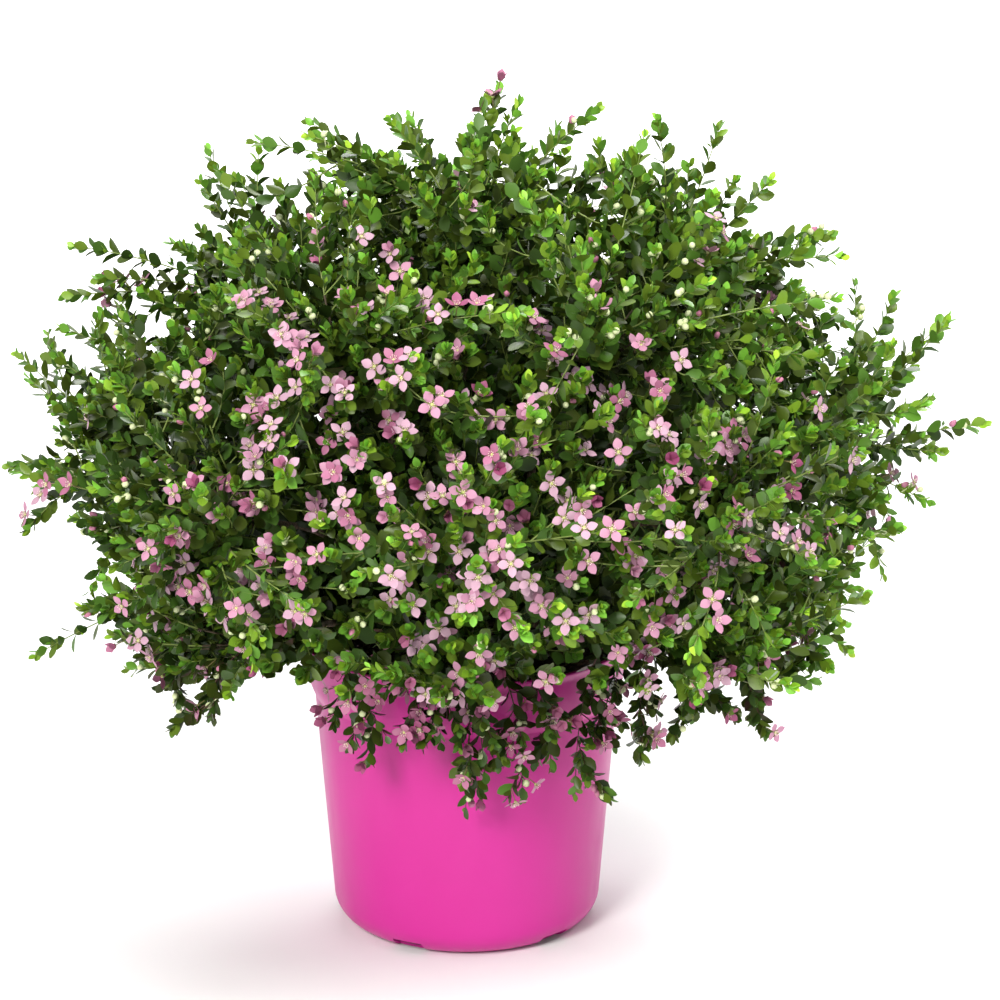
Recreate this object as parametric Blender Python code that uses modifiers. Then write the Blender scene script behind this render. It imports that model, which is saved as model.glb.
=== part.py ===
"""Potted red boronia: a round, densely twiggy shrub in full flower, in a magenta nursery pot.

Run it with blender --background --python part.py, or from Blender's text editor. Units are
metres, +Z is up, and the origin is the middle of the pot's flat underside. The plant is a
short trunk in the potting mix, a bough for each mass of foliage, and the masses, each of
which keeps to its own cone of space round the crown's heart.
"""

import math
import random

import bmesh
import bpy
from mathutils import Matrix, Vector
from mathutils.bvhtree import BVHTree

# Pot, a 200 mm nursery pot with a flared lip, a stacking collar that slants in to the
# tapering body at a fine line, and a rounded foot
POT_HEIGHT = 0.190
LIP_RADIUS = 0.1055
LIP_EDGE = 0.0026
LIP_HEIGHT = 0.008
COLLAR_TOP_RADIUS = 0.1016
COLLAR_LOW_RADIUS = 0.1000
COLLAR_LOW = 0.162
BODY_TOP_RADIUS = 0.0962
BODY_TOP = 0.152
BASE_RADIUS = 0.0853
FOOT_FILLET = 0.019
WALL = 0.0016
POT_STEPS = 40
FILLET_STEPS = 3

# Drain slots cut through the edge of the foot
SLOTS = 5
FIRST_SLOT = math.radians(-117.5)
SLOT_INNER = 0.070
SLOT_WIDTH = 0.021
SLOT_HEIGHT = 0.008
PAST_CUT = 0.010

# Potting mix
MIX_LEVEL = 0.168
GAP = 0.0003

# Trunk: heights above its cut at the mix, and radii
TRUNK_HEIGHT = 0.052
TRUNK_LEAN = Vector((0.0025, 0.0010, 0.0))
TRUNK_PROFILE = ((0.0, 0.0125), (0.06, 0.0108), (0.18, 0.0092), (0.45, 0.0082), (1.0, 0.0070))

# Crown: its heart, and its reach at angles from straight up
UP = Vector((0.0, 0.0, 1.0))
HEART = Vector((0.0, 0.0, 0.235))
REACH_AT = (
    (0, 0.308), (30, 0.326), (42, 0.316), (70, 0.346),
    (86, 0.290), (98, 0.272), (112, 0.220), (124, 0.175), (180, 0.160),
)
RIGHT_EXTRA = 0.030
FRONT_FLATTER = 0.05
SKIRT_FLATTER = 0.13
SKIRT_STARTS, SKIRT_FULL = 78.0, 100.0

# The shoots that end the outline seen from the front, whose plane leans back:
# angle from its top, to the right, and reach from the heart
OUTLINE_LEAN = math.radians(16.5)
OUTLINE_SHOOTS = (
    (-102, 0.284), (-80, 0.281), (-65, 0.318), (-51, 0.324), (-32, 0.313), (-9, 0.292),
    (4, 0.307), (30, 0.328), (48, 0.316), (63, 0.347), (75, 0.344), (103, 0.255),
)
OUTLINE_CLEAR = 10.0

# Rings of masses: name, angle from straight up, how many, azimuth of the first (0 is +X)
RINGS = (
    ("top", 0.0, 1, 0.0),
    ("upper", 39.0, 5, 18.0),
    ("middle", 71.0, 8, 0.0),
    ("skirt", 98.0, 7, -90.0),
)
BOUGH_LEAVES_AT = {"top": 0.95, "upper": 0.86, "middle": 0.62, "skirt": 0.36}
BOUGH_BASE_RADIUS = {"top": 0.0042, "upper": 0.0029, "middle": 0.0026, "skirt": 0.0025}
BOUGH_TIP_RADIUS = 0.0019
BOUGH_REACH = 0.118
BOUGH_POINTS = 5
SKIRT_ARCH = 0.022

# Foliage: leaves are fewer and larger than life, flowers likewise
SEED = 11
LEADERS = 90
LOWEST_LEADER = 109.0
GOLDEN_ANGLE = math.pi * (3 - math.sqrt(5))
LEADER_SPREAD = 0.92
LEADERS_LEAVE_AT = (0.50, 0.98)
EVENNESS = (0.92, 1.0)
STEM_END = 0.62
STEM_TIP_RADIUS = 0.0013
LEADER_RADIUS, LEADER_TIP_RADIUS = 0.0019, 0.0011
LEADER_POINTS = 3
LEAF_NODES = (0.50, 0.76, 0.985)
LEAF_LENGTH, LEAF_WIDTH, LEAF_THICKNESS = 0.041, 0.0245, 0.0016
LEAF_BROADEST, LEAF_CREST = 0.52, 0.45
LEAF_SUNK = 0.0008
LEAF_ANGLE, TIP_ANGLE = math.radians(48), math.radians(30)
PAST_TIP = LEAF_LENGTH * 0.84
PAIR_TURN = 0.5

# How far a leaf is turned round its twig, and its size, until it finds room
LEAF_TRIES = ((0.0, 1.0), (0.6, 1.0), (-0.6, 0.8), (0.0, 0.7))
FLOWER_EVERY = 2
FLOWER_SPAN, FLOWER_THICKNESS = 0.025, 0.0036
PETAL_NOTCH, PETAL_WIDER, FLOWER_TURN = 0.36, math.radians(6), 0.3
FLOWER_NODE = 0.66
SPUR_LENGTH, SPUR_RADIUS, SPUR_SUNK = 0.030, 0.0012, 0.0012
CORE_CLEAR, CORE_TO, CORE_BREADTH = 0.006, 0.74, 0.052
CORE_LUMPS, CORE_STEP = (0.84, 1.0), 0.05
MARGIN = 0.0007

# Trailing sprays that hang over the rim: azimuth, how far out, how low the tip hangs
TRAILS = ((-88.0, 0.134, 0.112), (-56.0, 0.138, 0.118), (-142.0, 0.185, 0.165), (-31.0, 0.195, 0.158))
TRAIL_CREST = 0.222
TRAIL_NODES = (0.42, 0.62, 0.82, 0.985)
TRAIL_LEAF = 0.70


def clear_scene():
    for old in list(bpy.data.objects):
        bpy.data.objects.remove(old)


def collection(name, helper=False):
    """A collection in the scene. A helper's objects are cutters or parts of a union."""
    made = bpy.data.collections.new(name)
    bpy.context.scene.collection.children.link(made)
    made.hide_render = helper
    return made


def material(name, colour, roughness):
    made = bpy.data.materials.new(name)
    made.use_nodes = True
    shader = made.node_tree.nodes["Principled BSDF"]
    shader.inputs["Base Color"].default_value = (*colour, 1.0)
    shader.inputs["Roughness"].default_value = roughness
    made.diffuse_color = (*colour, 1.0)
    return made


def mesh_object(name, mesh, group, finish=None):
    made = bpy.data.objects.new(name, mesh)
    group.objects.link(made)
    if finish:
        mesh.materials.clear()
        mesh.materials.append(finish)
    return made


def as_helper(made):
    made.hide_render = True
    made.display_type = "WIRE"
    return made


def mesh_from(build):
    """A mesh made by a function that works on a bmesh."""
    work = bmesh.new()
    build(work)
    mesh = bpy.data.meshes.new("shape")
    work.to_mesh(mesh)
    work.free()
    return mesh


def turned(name, profile, group, finish=None):
    """A profile of (radius, height) points turned about the axis. Its outer side runs downwards."""

    def outline(work):
        corners = [work.verts.new((radius, 0.0, height)) for radius, height in profile]
        for first, second in zip(corners, corners[1:]):
            work.edges.new((first, second))

    made = mesh_object(name, mesh_from(outline), group, finish)
    screw = made.modifiers.new("Screw", "SCREW")
    screw.steps = screw.render_steps = POT_STEPS
    screw.use_merge_vertices = True
    screw.merge_threshold = 0.00005
    return made


def boolean(made, operation, operand):
    modifier = made.modifiers.new(operation.title(), "BOOLEAN")
    modifier.operation = operation
    if isinstance(operand, bpy.types.Collection):
        modifier.operand_type = "COLLECTION"
        modifier.collection = operand
    else:
        modifier.object = operand
    modifier.material_mode = "TRANSFER"
    return modifier


def evaluated_mesh(made):
    graph = bpy.context.evaluated_depsgraph_get()
    return bpy.data.meshes.new_from_object(made.evaluated_get(graph))


def foot_arc(inset):
    """The rounded edge between wall and underside, moved in by inset, from top to bottom."""
    centre = BASE_RADIUS - FOOT_FILLET
    turns = [math.pi / 2 * step / FILLET_STEPS for step in range(FILLET_STEPS + 1)]
    radius = FOOT_FILLET - inset
    return [(centre + radius * math.cos(t), FOOT_FILLET - radius * math.sin(t)) for t in turns]


def pot_outside():
    """The pot's profile from its lip down to the middle of its underside."""
    return [
        (LIP_RADIUS - 0.0006, POT_HEIGHT),
        (LIP_RADIUS, POT_HEIGHT - 0.0012),
        (COLLAR_TOP_RADIUS, POT_HEIGHT - LIP_HEIGHT),
        (COLLAR_LOW_RADIUS, COLLAR_LOW),
        (BODY_TOP_RADIUS, BODY_TOP),
        *foot_arc(0.0),
        (0.0, 0.0),
    ]


def pot_inside(clear, top):
    """The inner profile, moved in by clear, from a height in the collar down to the axis."""
    inset = WALL + clear
    flare = (COLLAR_TOP_RADIUS - COLLAR_LOW_RADIUS) / (POT_HEIGHT - LIP_HEIGHT - COLLAR_LOW)
    return [
        (COLLAR_LOW_RADIUS - inset + flare * (top - COLLAR_LOW), top),
        (COLLAR_LOW_RADIUS - inset, COLLAR_LOW),
        (BODY_TOP_RADIUS - inset, BODY_TOP),
        *foot_arc(inset),
        (0.0, inset),
    ]


def slot_blocks(group):
    """Blocks that cut the drain slots, from inside the foot to past its outer side."""
    size = Vector((BASE_RADIUS + PAST_CUT - SLOT_INNER, SLOT_WIDTH, SLOT_HEIGHT + PAST_CUT))
    centre = Vector((SLOT_INNER + size.x / 2, 0.0, SLOT_HEIGHT - size.z / 2))
    for index in range(SLOTS):
        turn = Matrix.Rotation(FIRST_SLOT + math.tau * index / SLOTS, 4, "Z")
        place = turn @ Matrix.Translation(centre) @ Matrix.Diagonal((*size, 1.0))
        block = mesh_from(lambda work: bmesh.ops.create_cube(work, size=1.0, matrix=place))
        as_helper(mesh_object(f"slot_{index}", block, group))


def make_pot(group, finish):
    slots = collection("pot_slots", helper=True)
    slot_blocks(slots)
    inside = [(LIP_RADIUS - LIP_EDGE, POT_HEIGHT), *pot_inside(0.0, POT_HEIGHT - LIP_HEIGHT)]
    pot = turned("pot", [*reversed(inside), *pot_outside()], group, finish)
    boolean(pot, "DIFFERENCE", slots)
    return pot


def make_mix(group, finish):
    return turned("potting_mix", [(0.0, MIX_LEVEL), *pot_inside(GAP, MIX_LEVEL)], group, finish)


def limb_curve(name, path, radii, group, section=None):
    """A tapering limb through path: six-sided, or with the section's outline."""
    curve = bpy.data.curves.new(name, "CURVE")
    curve.dimensions = "3D"
    curve.use_fill_caps = True
    if section:
        curve.bevel_mode = "OBJECT"
        curve.bevel_object = section
    else:
        curve.bevel_depth = 1.0
        curve.bevel_resolution = 1
    spline = curve.splines.new("POLY")
    spline.points.add(len(path) - 1)
    for point, place, radius in zip(spline.points, path, radii):
        point.co = (*place, 1.0)
        point.radius = radius
    made = bpy.data.objects.new(name, curve)
    group.objects.link(made)
    return made


def limb(name, path, radii, group, finish, section=None):
    """The same as one closed mesh, which a Boolean can take."""
    drawn = limb_curve(name + "_line", path, radii, group, section)
    mesh = evaluated_mesh(drawn)
    bpy.data.objects.remove(drawn)
    work = bmesh.new()
    work.from_mesh(mesh)
    bmesh.ops.remove_doubles(work, verts=work.verts, dist=0.00001)
    bmesh.ops.recalc_face_normals(work, faces=work.faces)
    work.to_mesh(mesh)
    work.free()
    return mesh_object(name, mesh, group, finish)


def twig_section(group):
    """The three-sided outline that twigs are drawn with."""
    curve = bpy.data.curves.new("twig_section", "CURVE")
    curve.dimensions = "2D"
    spline = curve.splines.new("POLY")
    spline.points.add(2)
    spline.use_cyclic_u = True
    for index, point in enumerate(spline.points):
        turn = math.tau * index / 3
        point.co = (math.cos(turn), math.sin(turn), 0.0, 1.0)
    made = bpy.data.objects.new("twig_section", curve)
    group.objects.link(made)
    return as_helper(made)


def between(first, second, share):
    return first + (second - first) * share


def bend(start, control, end, count):
    """Points along a smooth curve that leaves start towards control and arrives at end."""
    shares = [step / (count - 1) for step in range(count)]
    return [between(between(start, control, t), between(control, end, t), t) for t in shares]


def point_along(path, share):
    """The place and direction at a share of the way along a path's points."""
    place = min(share, 0.9999) * (len(path) - 1)
    index = int(place)
    step = path[index + 1] - path[index]
    return path[index] + step * (place - index), step.normalized()


def direction_of(from_up, azimuth):
    tilt, turn = math.radians(from_up), math.radians(azimuth)
    return Vector((math.sin(tilt) * math.cos(turn), math.sin(tilt) * math.sin(turn), math.cos(tilt)))


def stepped(table, value):
    """A value read from a table of (place, value) pairs, with straight lines between them."""
    for (low, first), (high, second) in zip(table, table[1:]):
        if value <= high:
            return first + (second - first) * (value - low) / (high - low)
    return table[-1][1]


def crown_reach(direction):
    """How far the foliage reaches from the heart in a direction."""
    from_up = math.degrees(direction.angle(UP))
    level = Vector((direction.x, direction.y)).length or 1.0
    sideways, facing = direction.x / level, (direction.y / level) ** 2
    skirt = min(max((from_up - SKIRT_STARTS) / (SKIRT_FULL - SKIRT_STARTS), 0.0), 1.0)
    slant = math.sin(math.radians(from_up))
    flatter = (FRONT_FLATTER + (SKIRT_FLATTER - FRONT_FLATTER) * skirt) * facing * slant
    return stepped(REACH_AT, from_up) * (1 + RIGHT_EXTRA * sideways * slant - flatter)


def trunk_place(share):
    """A point on the trunk's axis, from its cut at the mix to the fork."""
    foot = Vector((0.0, 0.0, MIX_LEVEL + GAP))
    return foot + UP * (TRUNK_HEIGHT * share) + TRUNK_LEAN * share**2


def trunk_limb(name, group, finish, grow=0.0):
    """The trunk, or the trunk larger by grow round its side and top, that boughs are cut with."""
    path = [trunk_place(share) for share, _ in TRUNK_PROFILE]
    path[-1] += (path[-1] - path[-2]).normalized() * grow
    radii = [radius + grow for _, radius in TRUNK_PROFILE]
    return limb(name, path, radii, group, finish)


def mass_list():
    """Each mass of foliage as its name, ring, azimuth and the direction of its middle."""
    masses = []
    for ring, from_up, count, first in RINGS:
        for index in range(count):
            azimuth = first + 360.0 * index / count
            label = ring if count == 1 else f"{ring}_{index + 1}"
            masses.append((label, ring, azimuth, direction_of(from_up, azimuth)))
    return masses


def bough_path(ring, direction):
    """From inside the trunk, bending out to where the mass begins. Skirt boughs arch over the rim."""
    start = trunk_place(BOUGH_LEAVES_AT[ring])
    end = HEART + direction * BOUGH_REACH
    if ring == "top":
        return bend(start, between(start, end, 0.5), end, BOUGH_POINTS)
    outward = Vector((direction.x, direction.y, 0.0)).normalized()
    rise = SKIRT_ARCH if ring == "skirt" else (end.z - start.z) * 0.35
    control = Vector((0.0, 0.0, start.z + rise)) + outward * BOUGH_REACH * 0.45
    return bend(start, control, end, BOUGH_POINTS)


def make_boughs(masses, group, finish):
    cutters = collection("bough_cutters", helper=True)
    seat = as_helper(trunk_limb("trunk_seat", cutters, None, grow=GAP))
    for label, ring, _, direction in masses:
        path = bough_path(ring, direction)
        taper = [step / (BOUGH_POINTS - 1) for step in range(BOUGH_POINTS)]
        wide = BOUGH_BASE_RADIUS[ring]
        radii = [between(wide, BOUGH_TIP_RADIUS, share) for share in taper]
        boolean(limb(f"bough_{label}", path, radii, group, finish), "DIFFERENCE", seat)


class Space:
    """The cone of space that one mass keeps to, seen from the crown's heart."""

    def __init__(self, own, others):
        self.walls = [(own - other).normalized() for other in others if other is not own]

    def holds(self, points):
        for point in points:
            offset = point - HEART
            if any(offset.dot(wall) < MARGIN for wall in self.walls):
                return False
            if offset.length > crown_reach(offset.normalized()) + MARGIN:
                return False
            if self.in_pot(point):
                return False
        return True

    @staticmethod
    def in_pot(point):
        """Whether a point is within 3 mm of the pot, or inside it below its lip."""
        level = math.hypot(point.x, point.y)
        return point.z < POT_HEIGHT + 0.003 and level < LIP_RADIUS + 0.003


def pointed(work, sides, depth):
    """A low cone with its flat face down and its tip up."""
    bmesh.ops.create_cone(work, cap_ends=True, segments=sides, radius1=1.0, radius2=0.0, depth=depth)


def leaf_shape():
    """A leaf along +X with its root at the origin: flat below, with a raised midrib above."""

    def build(work):
        pointed(work, 4, LEAF_THICKNESS)
        for corner in work.verts:
            x, y, z = corner.co
            side = abs(y) > 0.5
            forward = LEAF_BROADEST if side else (1 + x) / 2
            tip = math.hypot(x, y) < 0.5
            corner.co = ((LEAF_CREST if tip else forward) * LEAF_LENGTH, y * LEAF_WIDTH / 2, z)

    return mesh_from(build)


def flower_shape():
    """A four-petalled flower whose flat face is turned to +X, with its back at the origin."""

    def build(work):
        pointed(work, 12, FLOWER_THICKNESS)
        for corner in work.verts:
            turn = math.atan2(corner.co.y, corner.co.x)
            place = round(turn / (math.tau / 12)) % 3
            radius = FLOWER_SPAN / 2 * math.hypot(corner.co.x, corner.co.y)
            radius *= PETAL_NOTCH if place == 0 else 1.0
            turn += PETAL_WIDER * (0, -1, 1)[place] + FLOWER_TURN
            forward = FLOWER_THICKNESS / 2 - corner.co.z
            corner.co = (forward, radius * math.sin(turn), radius * math.cos(turn))
        bmesh.ops.recalc_face_normals(work, faces=work.faces)

    return mesh_from(build)


def facing(place, forward, upper, size=1.0):
    """A matrix that puts +X along forward and turns +Z as near to upper as it can."""
    side = upper.cross(forward).normalized()
    normal = forward.cross(side).normalized()
    turn = Matrix((forward, side, normal)).transposed().to_4x4()
    return Matrix.Translation(place) @ turn @ Matrix.Scale(size, 4)


def corners_and_faces(mesh):
    return [corner.co.copy() for corner in mesh.vertices], [list(face.vertices) for face in mesh.polygons]


def core_shape(direction, space):
    """A lumpy ball in the thick of a mass, past its bough, drawn in until it is in its space."""
    inner, outer = BOUGH_REACH + CORE_CLEAR, crown_reach(direction) * CORE_TO
    place = facing(HEART + direction * (inner + outer) / 2, direction, Vector((0.3, 0.2, 1.0)))
    size = Vector(((outer - inner) / 2, CORE_BREADTH, CORE_BREADTH))
    lumps = random.Random(round(direction.x * 1000) + SEED)

    def build(work):
        bmesh.ops.create_icosphere(work, subdivisions=1, radius=1.0)
        for corner in work.verts:
            way = corner.co * size * lumps.uniform(*CORE_LUMPS)
            share = 1.0
            while not space.holds([place @ (way * (share + CORE_STEP))]) and share > CORE_STEP:
                share -= CORE_STEP
            corner.co = place @ (way * share)

    return mesh_from(build)


class Mass:
    """One mass of foliage: its stem, leaders, leaves, flowers and core, joined at the end."""

    def __init__(self, label, ring, direction, space, shapes, section, group, finishes):
        bough = bpy.data.objects[f"bough_{label}"].data
        self.name = f"foliage_{label}"
        self.direction, self.space = direction, space
        self.shapes, self.section = shapes, section
        self.leaf_finish, self.petal_finish = finishes
        self.parts = collection(self.name + "_parts", helper=True)
        self.solids = [("bough", BVHTree.FromPolygons(*corners_and_faces(bough)))]
        self.chance = random.Random(f"{SEED} {label}")
        path = bough_path(ring, direction)
        along = (path[-1] - path[-2]).normalized()
        start = path[-1] + along * GAP
        end = HEART + direction * crown_reach(direction) * STEM_END
        self.stem_path = bend(start, start + along * (end - start).length * 0.4, end, LEADER_POINTS)
        taper = [step / (LEADER_POINTS - 1) for step in range(LEADER_POINTS)]
        radii = [between(BOUGH_TIP_RADIUS, STEM_TIP_RADIUS, share) for share in taper]
        self.stem = limb(self.name, self.stem_path, radii, group, self.leaf_finish, section)
        self.add("core", core_shape(direction, space), self.leaf_finish)

    def add(self, name, mesh, finish):
        mesh_object(f"{self.name}_{name}", mesh, self.parts, finish)
        self.solids.append((name.split("_")[0], BVHTree.FromPolygons(*corners_and_faces(mesh))))

    def add_placed(self, name, shape, place, finish):
        """A copy of a shape, if it lies in the mass's space and crosses only its own leader."""
        mesh = shape.copy()
        mesh.transform(place)
        corners, faces = corners_and_faces(mesh)
        solid, own = BVHTree.FromPolygons(corners, faces), name.split("_")[0]
        crosses = any(solid.overlap(other) for part, other in self.solids if part != own)
        if crosses or not self.space.holds(corners):
            bpy.data.meshes.remove(mesh)
            return False
        self.add(name, mesh, finish)
        return True

    def add_leaves(self, name, path, nodes, size):
        """Opposite pairs, each pair turned a quarter from the last."""
        for number, node in enumerate(nodes):
            place, along = point_along(path, node)
            level = along.cross(UP).normalized() if abs(along.z) < 0.97 else Vector((1.0, 0.0, 0.0))
            angle = TIP_ANGLE if node == nodes[-1] else LEAF_ANGLE
            for half in (0, 1):
                for turn, smaller in LEAF_TRIES:
                    round_twig = PAIR_TURN + math.pi / 2 * number + math.pi * half + turn
                    side = Matrix.Rotation(round_twig, 3, along) @ level
                    forward = (along * math.cos(angle) + side * math.sin(angle)).normalized()
                    root = place - forward * LEAF_SUNK * size
                    turned_to = facing(root, forward, along, size * smaller)
                    if self.add_placed(f"{name}_leaf", self.shapes["leaf"], turned_to, self.leaf_finish):
                        break

    def add_flower(self, name, path):
        """A flower on a short spur that leaves the leader and turns outwards."""
        place, along = point_along(path, FLOWER_NODE)
        outward = (place - HEART).normalized()
        side = outward.cross(along + UP * 0.3).normalized()
        way = (outward * 0.8 + side * 0.5 + UP * 0.15).normalized()
        end = place + way * SPUR_LENGTH
        turn = facing(end - way * SPUR_SUNK, way, UP)
        if self.add_placed(f"{name}_flower", self.shapes["flower"], turn, self.petal_finish):
            self.add_twig(f"{name}_spur", [place, end], [SPUR_RADIUS] * 2)

    def add_twig(self, name, path, radii):
        twig = limb(f"{self.name}_{name}", path, radii, self.parts, self.leaf_finish, self.section)
        self.solids.append((name.split("_")[0], BVHTree.FromPolygons(*corners_and_faces(twig.data))))

    def add_leader(self, name, path):
        """Draws a leader if its path lies in the mass's space, and says whether it does."""
        taper = [step / (len(path) - 1) for step in range(len(path))]
        if not self.space.holds(path[1:]):
            return False
        self.add_twig(name, path, [between(LEADER_RADIUS, LEADER_TIP_RADIUS, share) for share in taper])
        return True

    def leader_path(self, direction, reach, share):
        """From the stem to the crown's edge, leaving along the stem and turning to the light."""
        start, along = point_along(self.stem_path, between(*LEADERS_LEAVE_AT, share))
        way = between(self.direction, direction, LEADER_SPREAD).normalized() if reach is None else direction
        end = HEART + way * ((reach or crown_reach(way) * self.chance.uniform(*EVENNESS)) - PAST_TIP)
        control = start + (along * 0.75 + way * 0.25) * (end - start).length * 0.45
        return bend(start, control, end, LEADER_POINTS)

    def trail_path(self, azimuth, out, low):
        """From the stem's root over the rim and down the pot's side."""
        start, along = point_along(self.stem_path, 0.3)
        outward = direction_of(90.0, azimuth)
        end = Vector((0.0, 0.0, low)) + outward * out
        control = Vector((0.0, 0.0, TRAIL_CREST)) + outward * (out + 0.006)
        return bend(start, control, end, LEADER_POINTS + 1)

    def join(self):
        """Unites the parts with the stem by one Boolean, applies it and removes them."""
        boolean(self.stem, "UNION", self.parts)
        joined = evaluated_mesh(self.stem)
        self.stem.modifiers.clear()
        self.stem.data = joined
        drop_scraps(joined)
        for part in list(self.parts.objects):
            bpy.data.objects.remove(part)
        bpy.data.collections.remove(self.parts)


def drop_scraps(mesh):
    """Keeps a mesh's largest connected body."""
    work = bmesh.new()
    work.from_mesh(mesh)
    left, bodies = set(work.verts), []
    while left:
        body, edge = set(), [left.pop()]
        while edge:
            corner = edge.pop()
            body.add(corner)
            near = {e.other_vert(corner) for e in corner.link_edges} & left
            left -= near
            edge.extend(near)
        bodies.append(body)
    bodies.sort(key=len)
    for scrap in bodies[:-1]:
        bmesh.ops.delete(work, geom=list(scrap), context="VERTS")
    work.to_mesh(mesh)
    work.free()


def leader_directions():
    """Where the leaders point, and the reach of those that end the outline seen from the front."""
    top = Vector((0.0, math.sin(OUTLINE_LEAN), math.cos(OUTLINE_LEAN)))
    ends = []
    for turn, reach in OUTLINE_SHOOTS:
        angle = math.radians(turn)
        ends.append((Vector((math.sin(angle), 0.0, 0.0)) + top * math.cos(angle), reach))
    yield from ends
    lowest = math.cos(math.radians(LOWEST_LEADER))
    clear = math.cos(math.radians(OUTLINE_CLEAR))
    for index in range(LEADERS):
        height = 1 - (1 - lowest) * (index + 0.5) / LEADERS
        way = direction_of(math.degrees(math.acos(height)), math.degrees(GOLDEN_ANGLE * index))
        if all(way.dot(end) < clear for end, _ in ends):
            yield way, None


def make_foliage(masses, group, finishes):
    helpers = collection("foliage_helpers", helper=True)
    section = twig_section(helpers)
    shapes = {"leaf": leaf_shape(), "flower": flower_shape()}
    middles = [direction for *_, direction in masses]
    leaders = {id(middle): [] for middle in middles}
    for way, reach in leader_directions():
        nearest = max(middles, key=way.dot)
        leaders[id(nearest)].append((way, reach))
    trails = {id(middle): [] for middle in middles}
    for azimuth, out, low in TRAILS:
        nearest = max(middles, key=direction_of(112.0, azimuth).dot)
        trails[id(nearest)].append((azimuth, out, low))
    for label, ring, _, direction in masses:
        space = Space(direction, middles)
        mass = Mass(label, ring, direction, space, shapes, section, group, finishes)
        own = leaders[id(direction)]
        paths = [mass.leader_path(*way, (index + 0.5) / len(own)) for index, way in enumerate(own)]
        drawn = [(f"leader{index}", path, LEAF_NODES, 1.0) for index, path in enumerate(paths)]
        hanging = [mass.trail_path(*trail) for trail in trails[id(direction)]]
        drawn += [(f"trail{index}", path, TRAIL_NODES, TRAIL_LEAF) for index, path in enumerate(hanging)]
        drawn = [row for row in drawn if mass.add_leader(*row[:2])]
        for name, path, _, _ in drawn[::FLOWER_EVERY]:
            mass.add_flower(name, path)
        for name, path, nodes, size in drawn:
            mass.add_leaves(name, path, nodes, size)
        mass.join()
    for shape in shapes.values():
        bpy.data.meshes.remove(shape)


def main():
    clear_scene()
    boronia = collection("potted_red_boronia")
    magenta = material("magenta_plastic", (0.78, 0.05, 0.36), 0.42)
    mix_brown = material("potting_mix", (0.055, 0.036, 0.024), 0.95)
    bark = material("boronia_bark", (0.16, 0.105, 0.07), 0.85)
    leaf_green = material("boronia_leaf", (0.055, 0.16, 0.025), 0.55)
    petal_pink = material("boronia_petal", (0.80, 0.33, 0.52), 0.60)
    make_pot(boronia, magenta)
    make_mix(boronia, mix_brown)
    trunk_limb("trunk", boronia, bark)
    masses = mass_list()
    make_boughs(masses, boronia, bark)
    make_foliage(masses, boronia, (leaf_green, petal_pink))
    for made in boronia.objects:
        if made.name == "pot":
            made.data.shade_smooth()


main()
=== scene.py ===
# %% [markdown]
# # A potted red boronia, dressed leaf by leaf
#
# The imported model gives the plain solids: a pot, its mix, a trunk, a bough for each mass of
# foliage, and the masses. This lesson dresses them. The shrub grows here by the same rule as
# those solids, only carried on to finer twigs, and each kind of small thing, such as a leaf or a
# petal, is modelled once and dealt out by Geometry Nodes.

# %% Load the frame
import math
import operator
import random

import bmesh
import bpy
from mathutils import Matrix, Vector, kdtree, noise


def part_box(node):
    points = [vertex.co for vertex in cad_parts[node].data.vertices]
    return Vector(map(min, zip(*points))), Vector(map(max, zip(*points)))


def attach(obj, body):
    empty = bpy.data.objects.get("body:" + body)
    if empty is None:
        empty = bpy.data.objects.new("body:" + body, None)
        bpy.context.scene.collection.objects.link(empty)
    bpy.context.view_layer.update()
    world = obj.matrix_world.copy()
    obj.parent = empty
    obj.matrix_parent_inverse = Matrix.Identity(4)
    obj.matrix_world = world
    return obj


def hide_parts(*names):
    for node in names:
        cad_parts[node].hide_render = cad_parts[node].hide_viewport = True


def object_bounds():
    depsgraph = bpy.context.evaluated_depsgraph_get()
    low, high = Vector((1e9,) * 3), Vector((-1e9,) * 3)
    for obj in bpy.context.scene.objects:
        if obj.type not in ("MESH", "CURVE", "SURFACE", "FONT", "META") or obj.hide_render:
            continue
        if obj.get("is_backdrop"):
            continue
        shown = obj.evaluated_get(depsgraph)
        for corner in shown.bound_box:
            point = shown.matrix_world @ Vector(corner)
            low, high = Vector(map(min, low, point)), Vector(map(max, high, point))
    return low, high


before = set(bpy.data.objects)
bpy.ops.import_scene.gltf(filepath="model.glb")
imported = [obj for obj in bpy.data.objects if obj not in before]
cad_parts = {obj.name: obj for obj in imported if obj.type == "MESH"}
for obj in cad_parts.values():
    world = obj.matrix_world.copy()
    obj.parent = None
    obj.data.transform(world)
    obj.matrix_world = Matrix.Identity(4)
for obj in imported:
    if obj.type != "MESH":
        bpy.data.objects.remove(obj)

CAD_BOX = [list(corner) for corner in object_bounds()]
POT_HIGH, MIX_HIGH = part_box("pot")[1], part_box("potting_mix")[1]
POT_HEIGHT, LIP_RADIUS, MIX_LEVEL = POT_HIGH.z, POT_HIGH.x, MIX_HIGH.z
ROOT = "root"
MASSES = [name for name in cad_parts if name.startswith("foliage_")]
LIMBS = [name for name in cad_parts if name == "trunk" or name.startswith("bough_")]
print("pot height", round(POT_HEIGHT, 4), "masses", len(MASSES), "limbs", len(LIMBS))

# %% [markdown]
# ## Camera and lights
#
# The photograph was taken with a long lens from a little above the pot's rim, so near and far
# leaves are almost the same size. A long lens from 2.6 m does the same. A studio picture on white
# needs an even sky, a broad key light from the left, a softer one high on the right for the
# crown's top, a weak fill, and a light behind the plant that whitens the floor.

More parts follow.
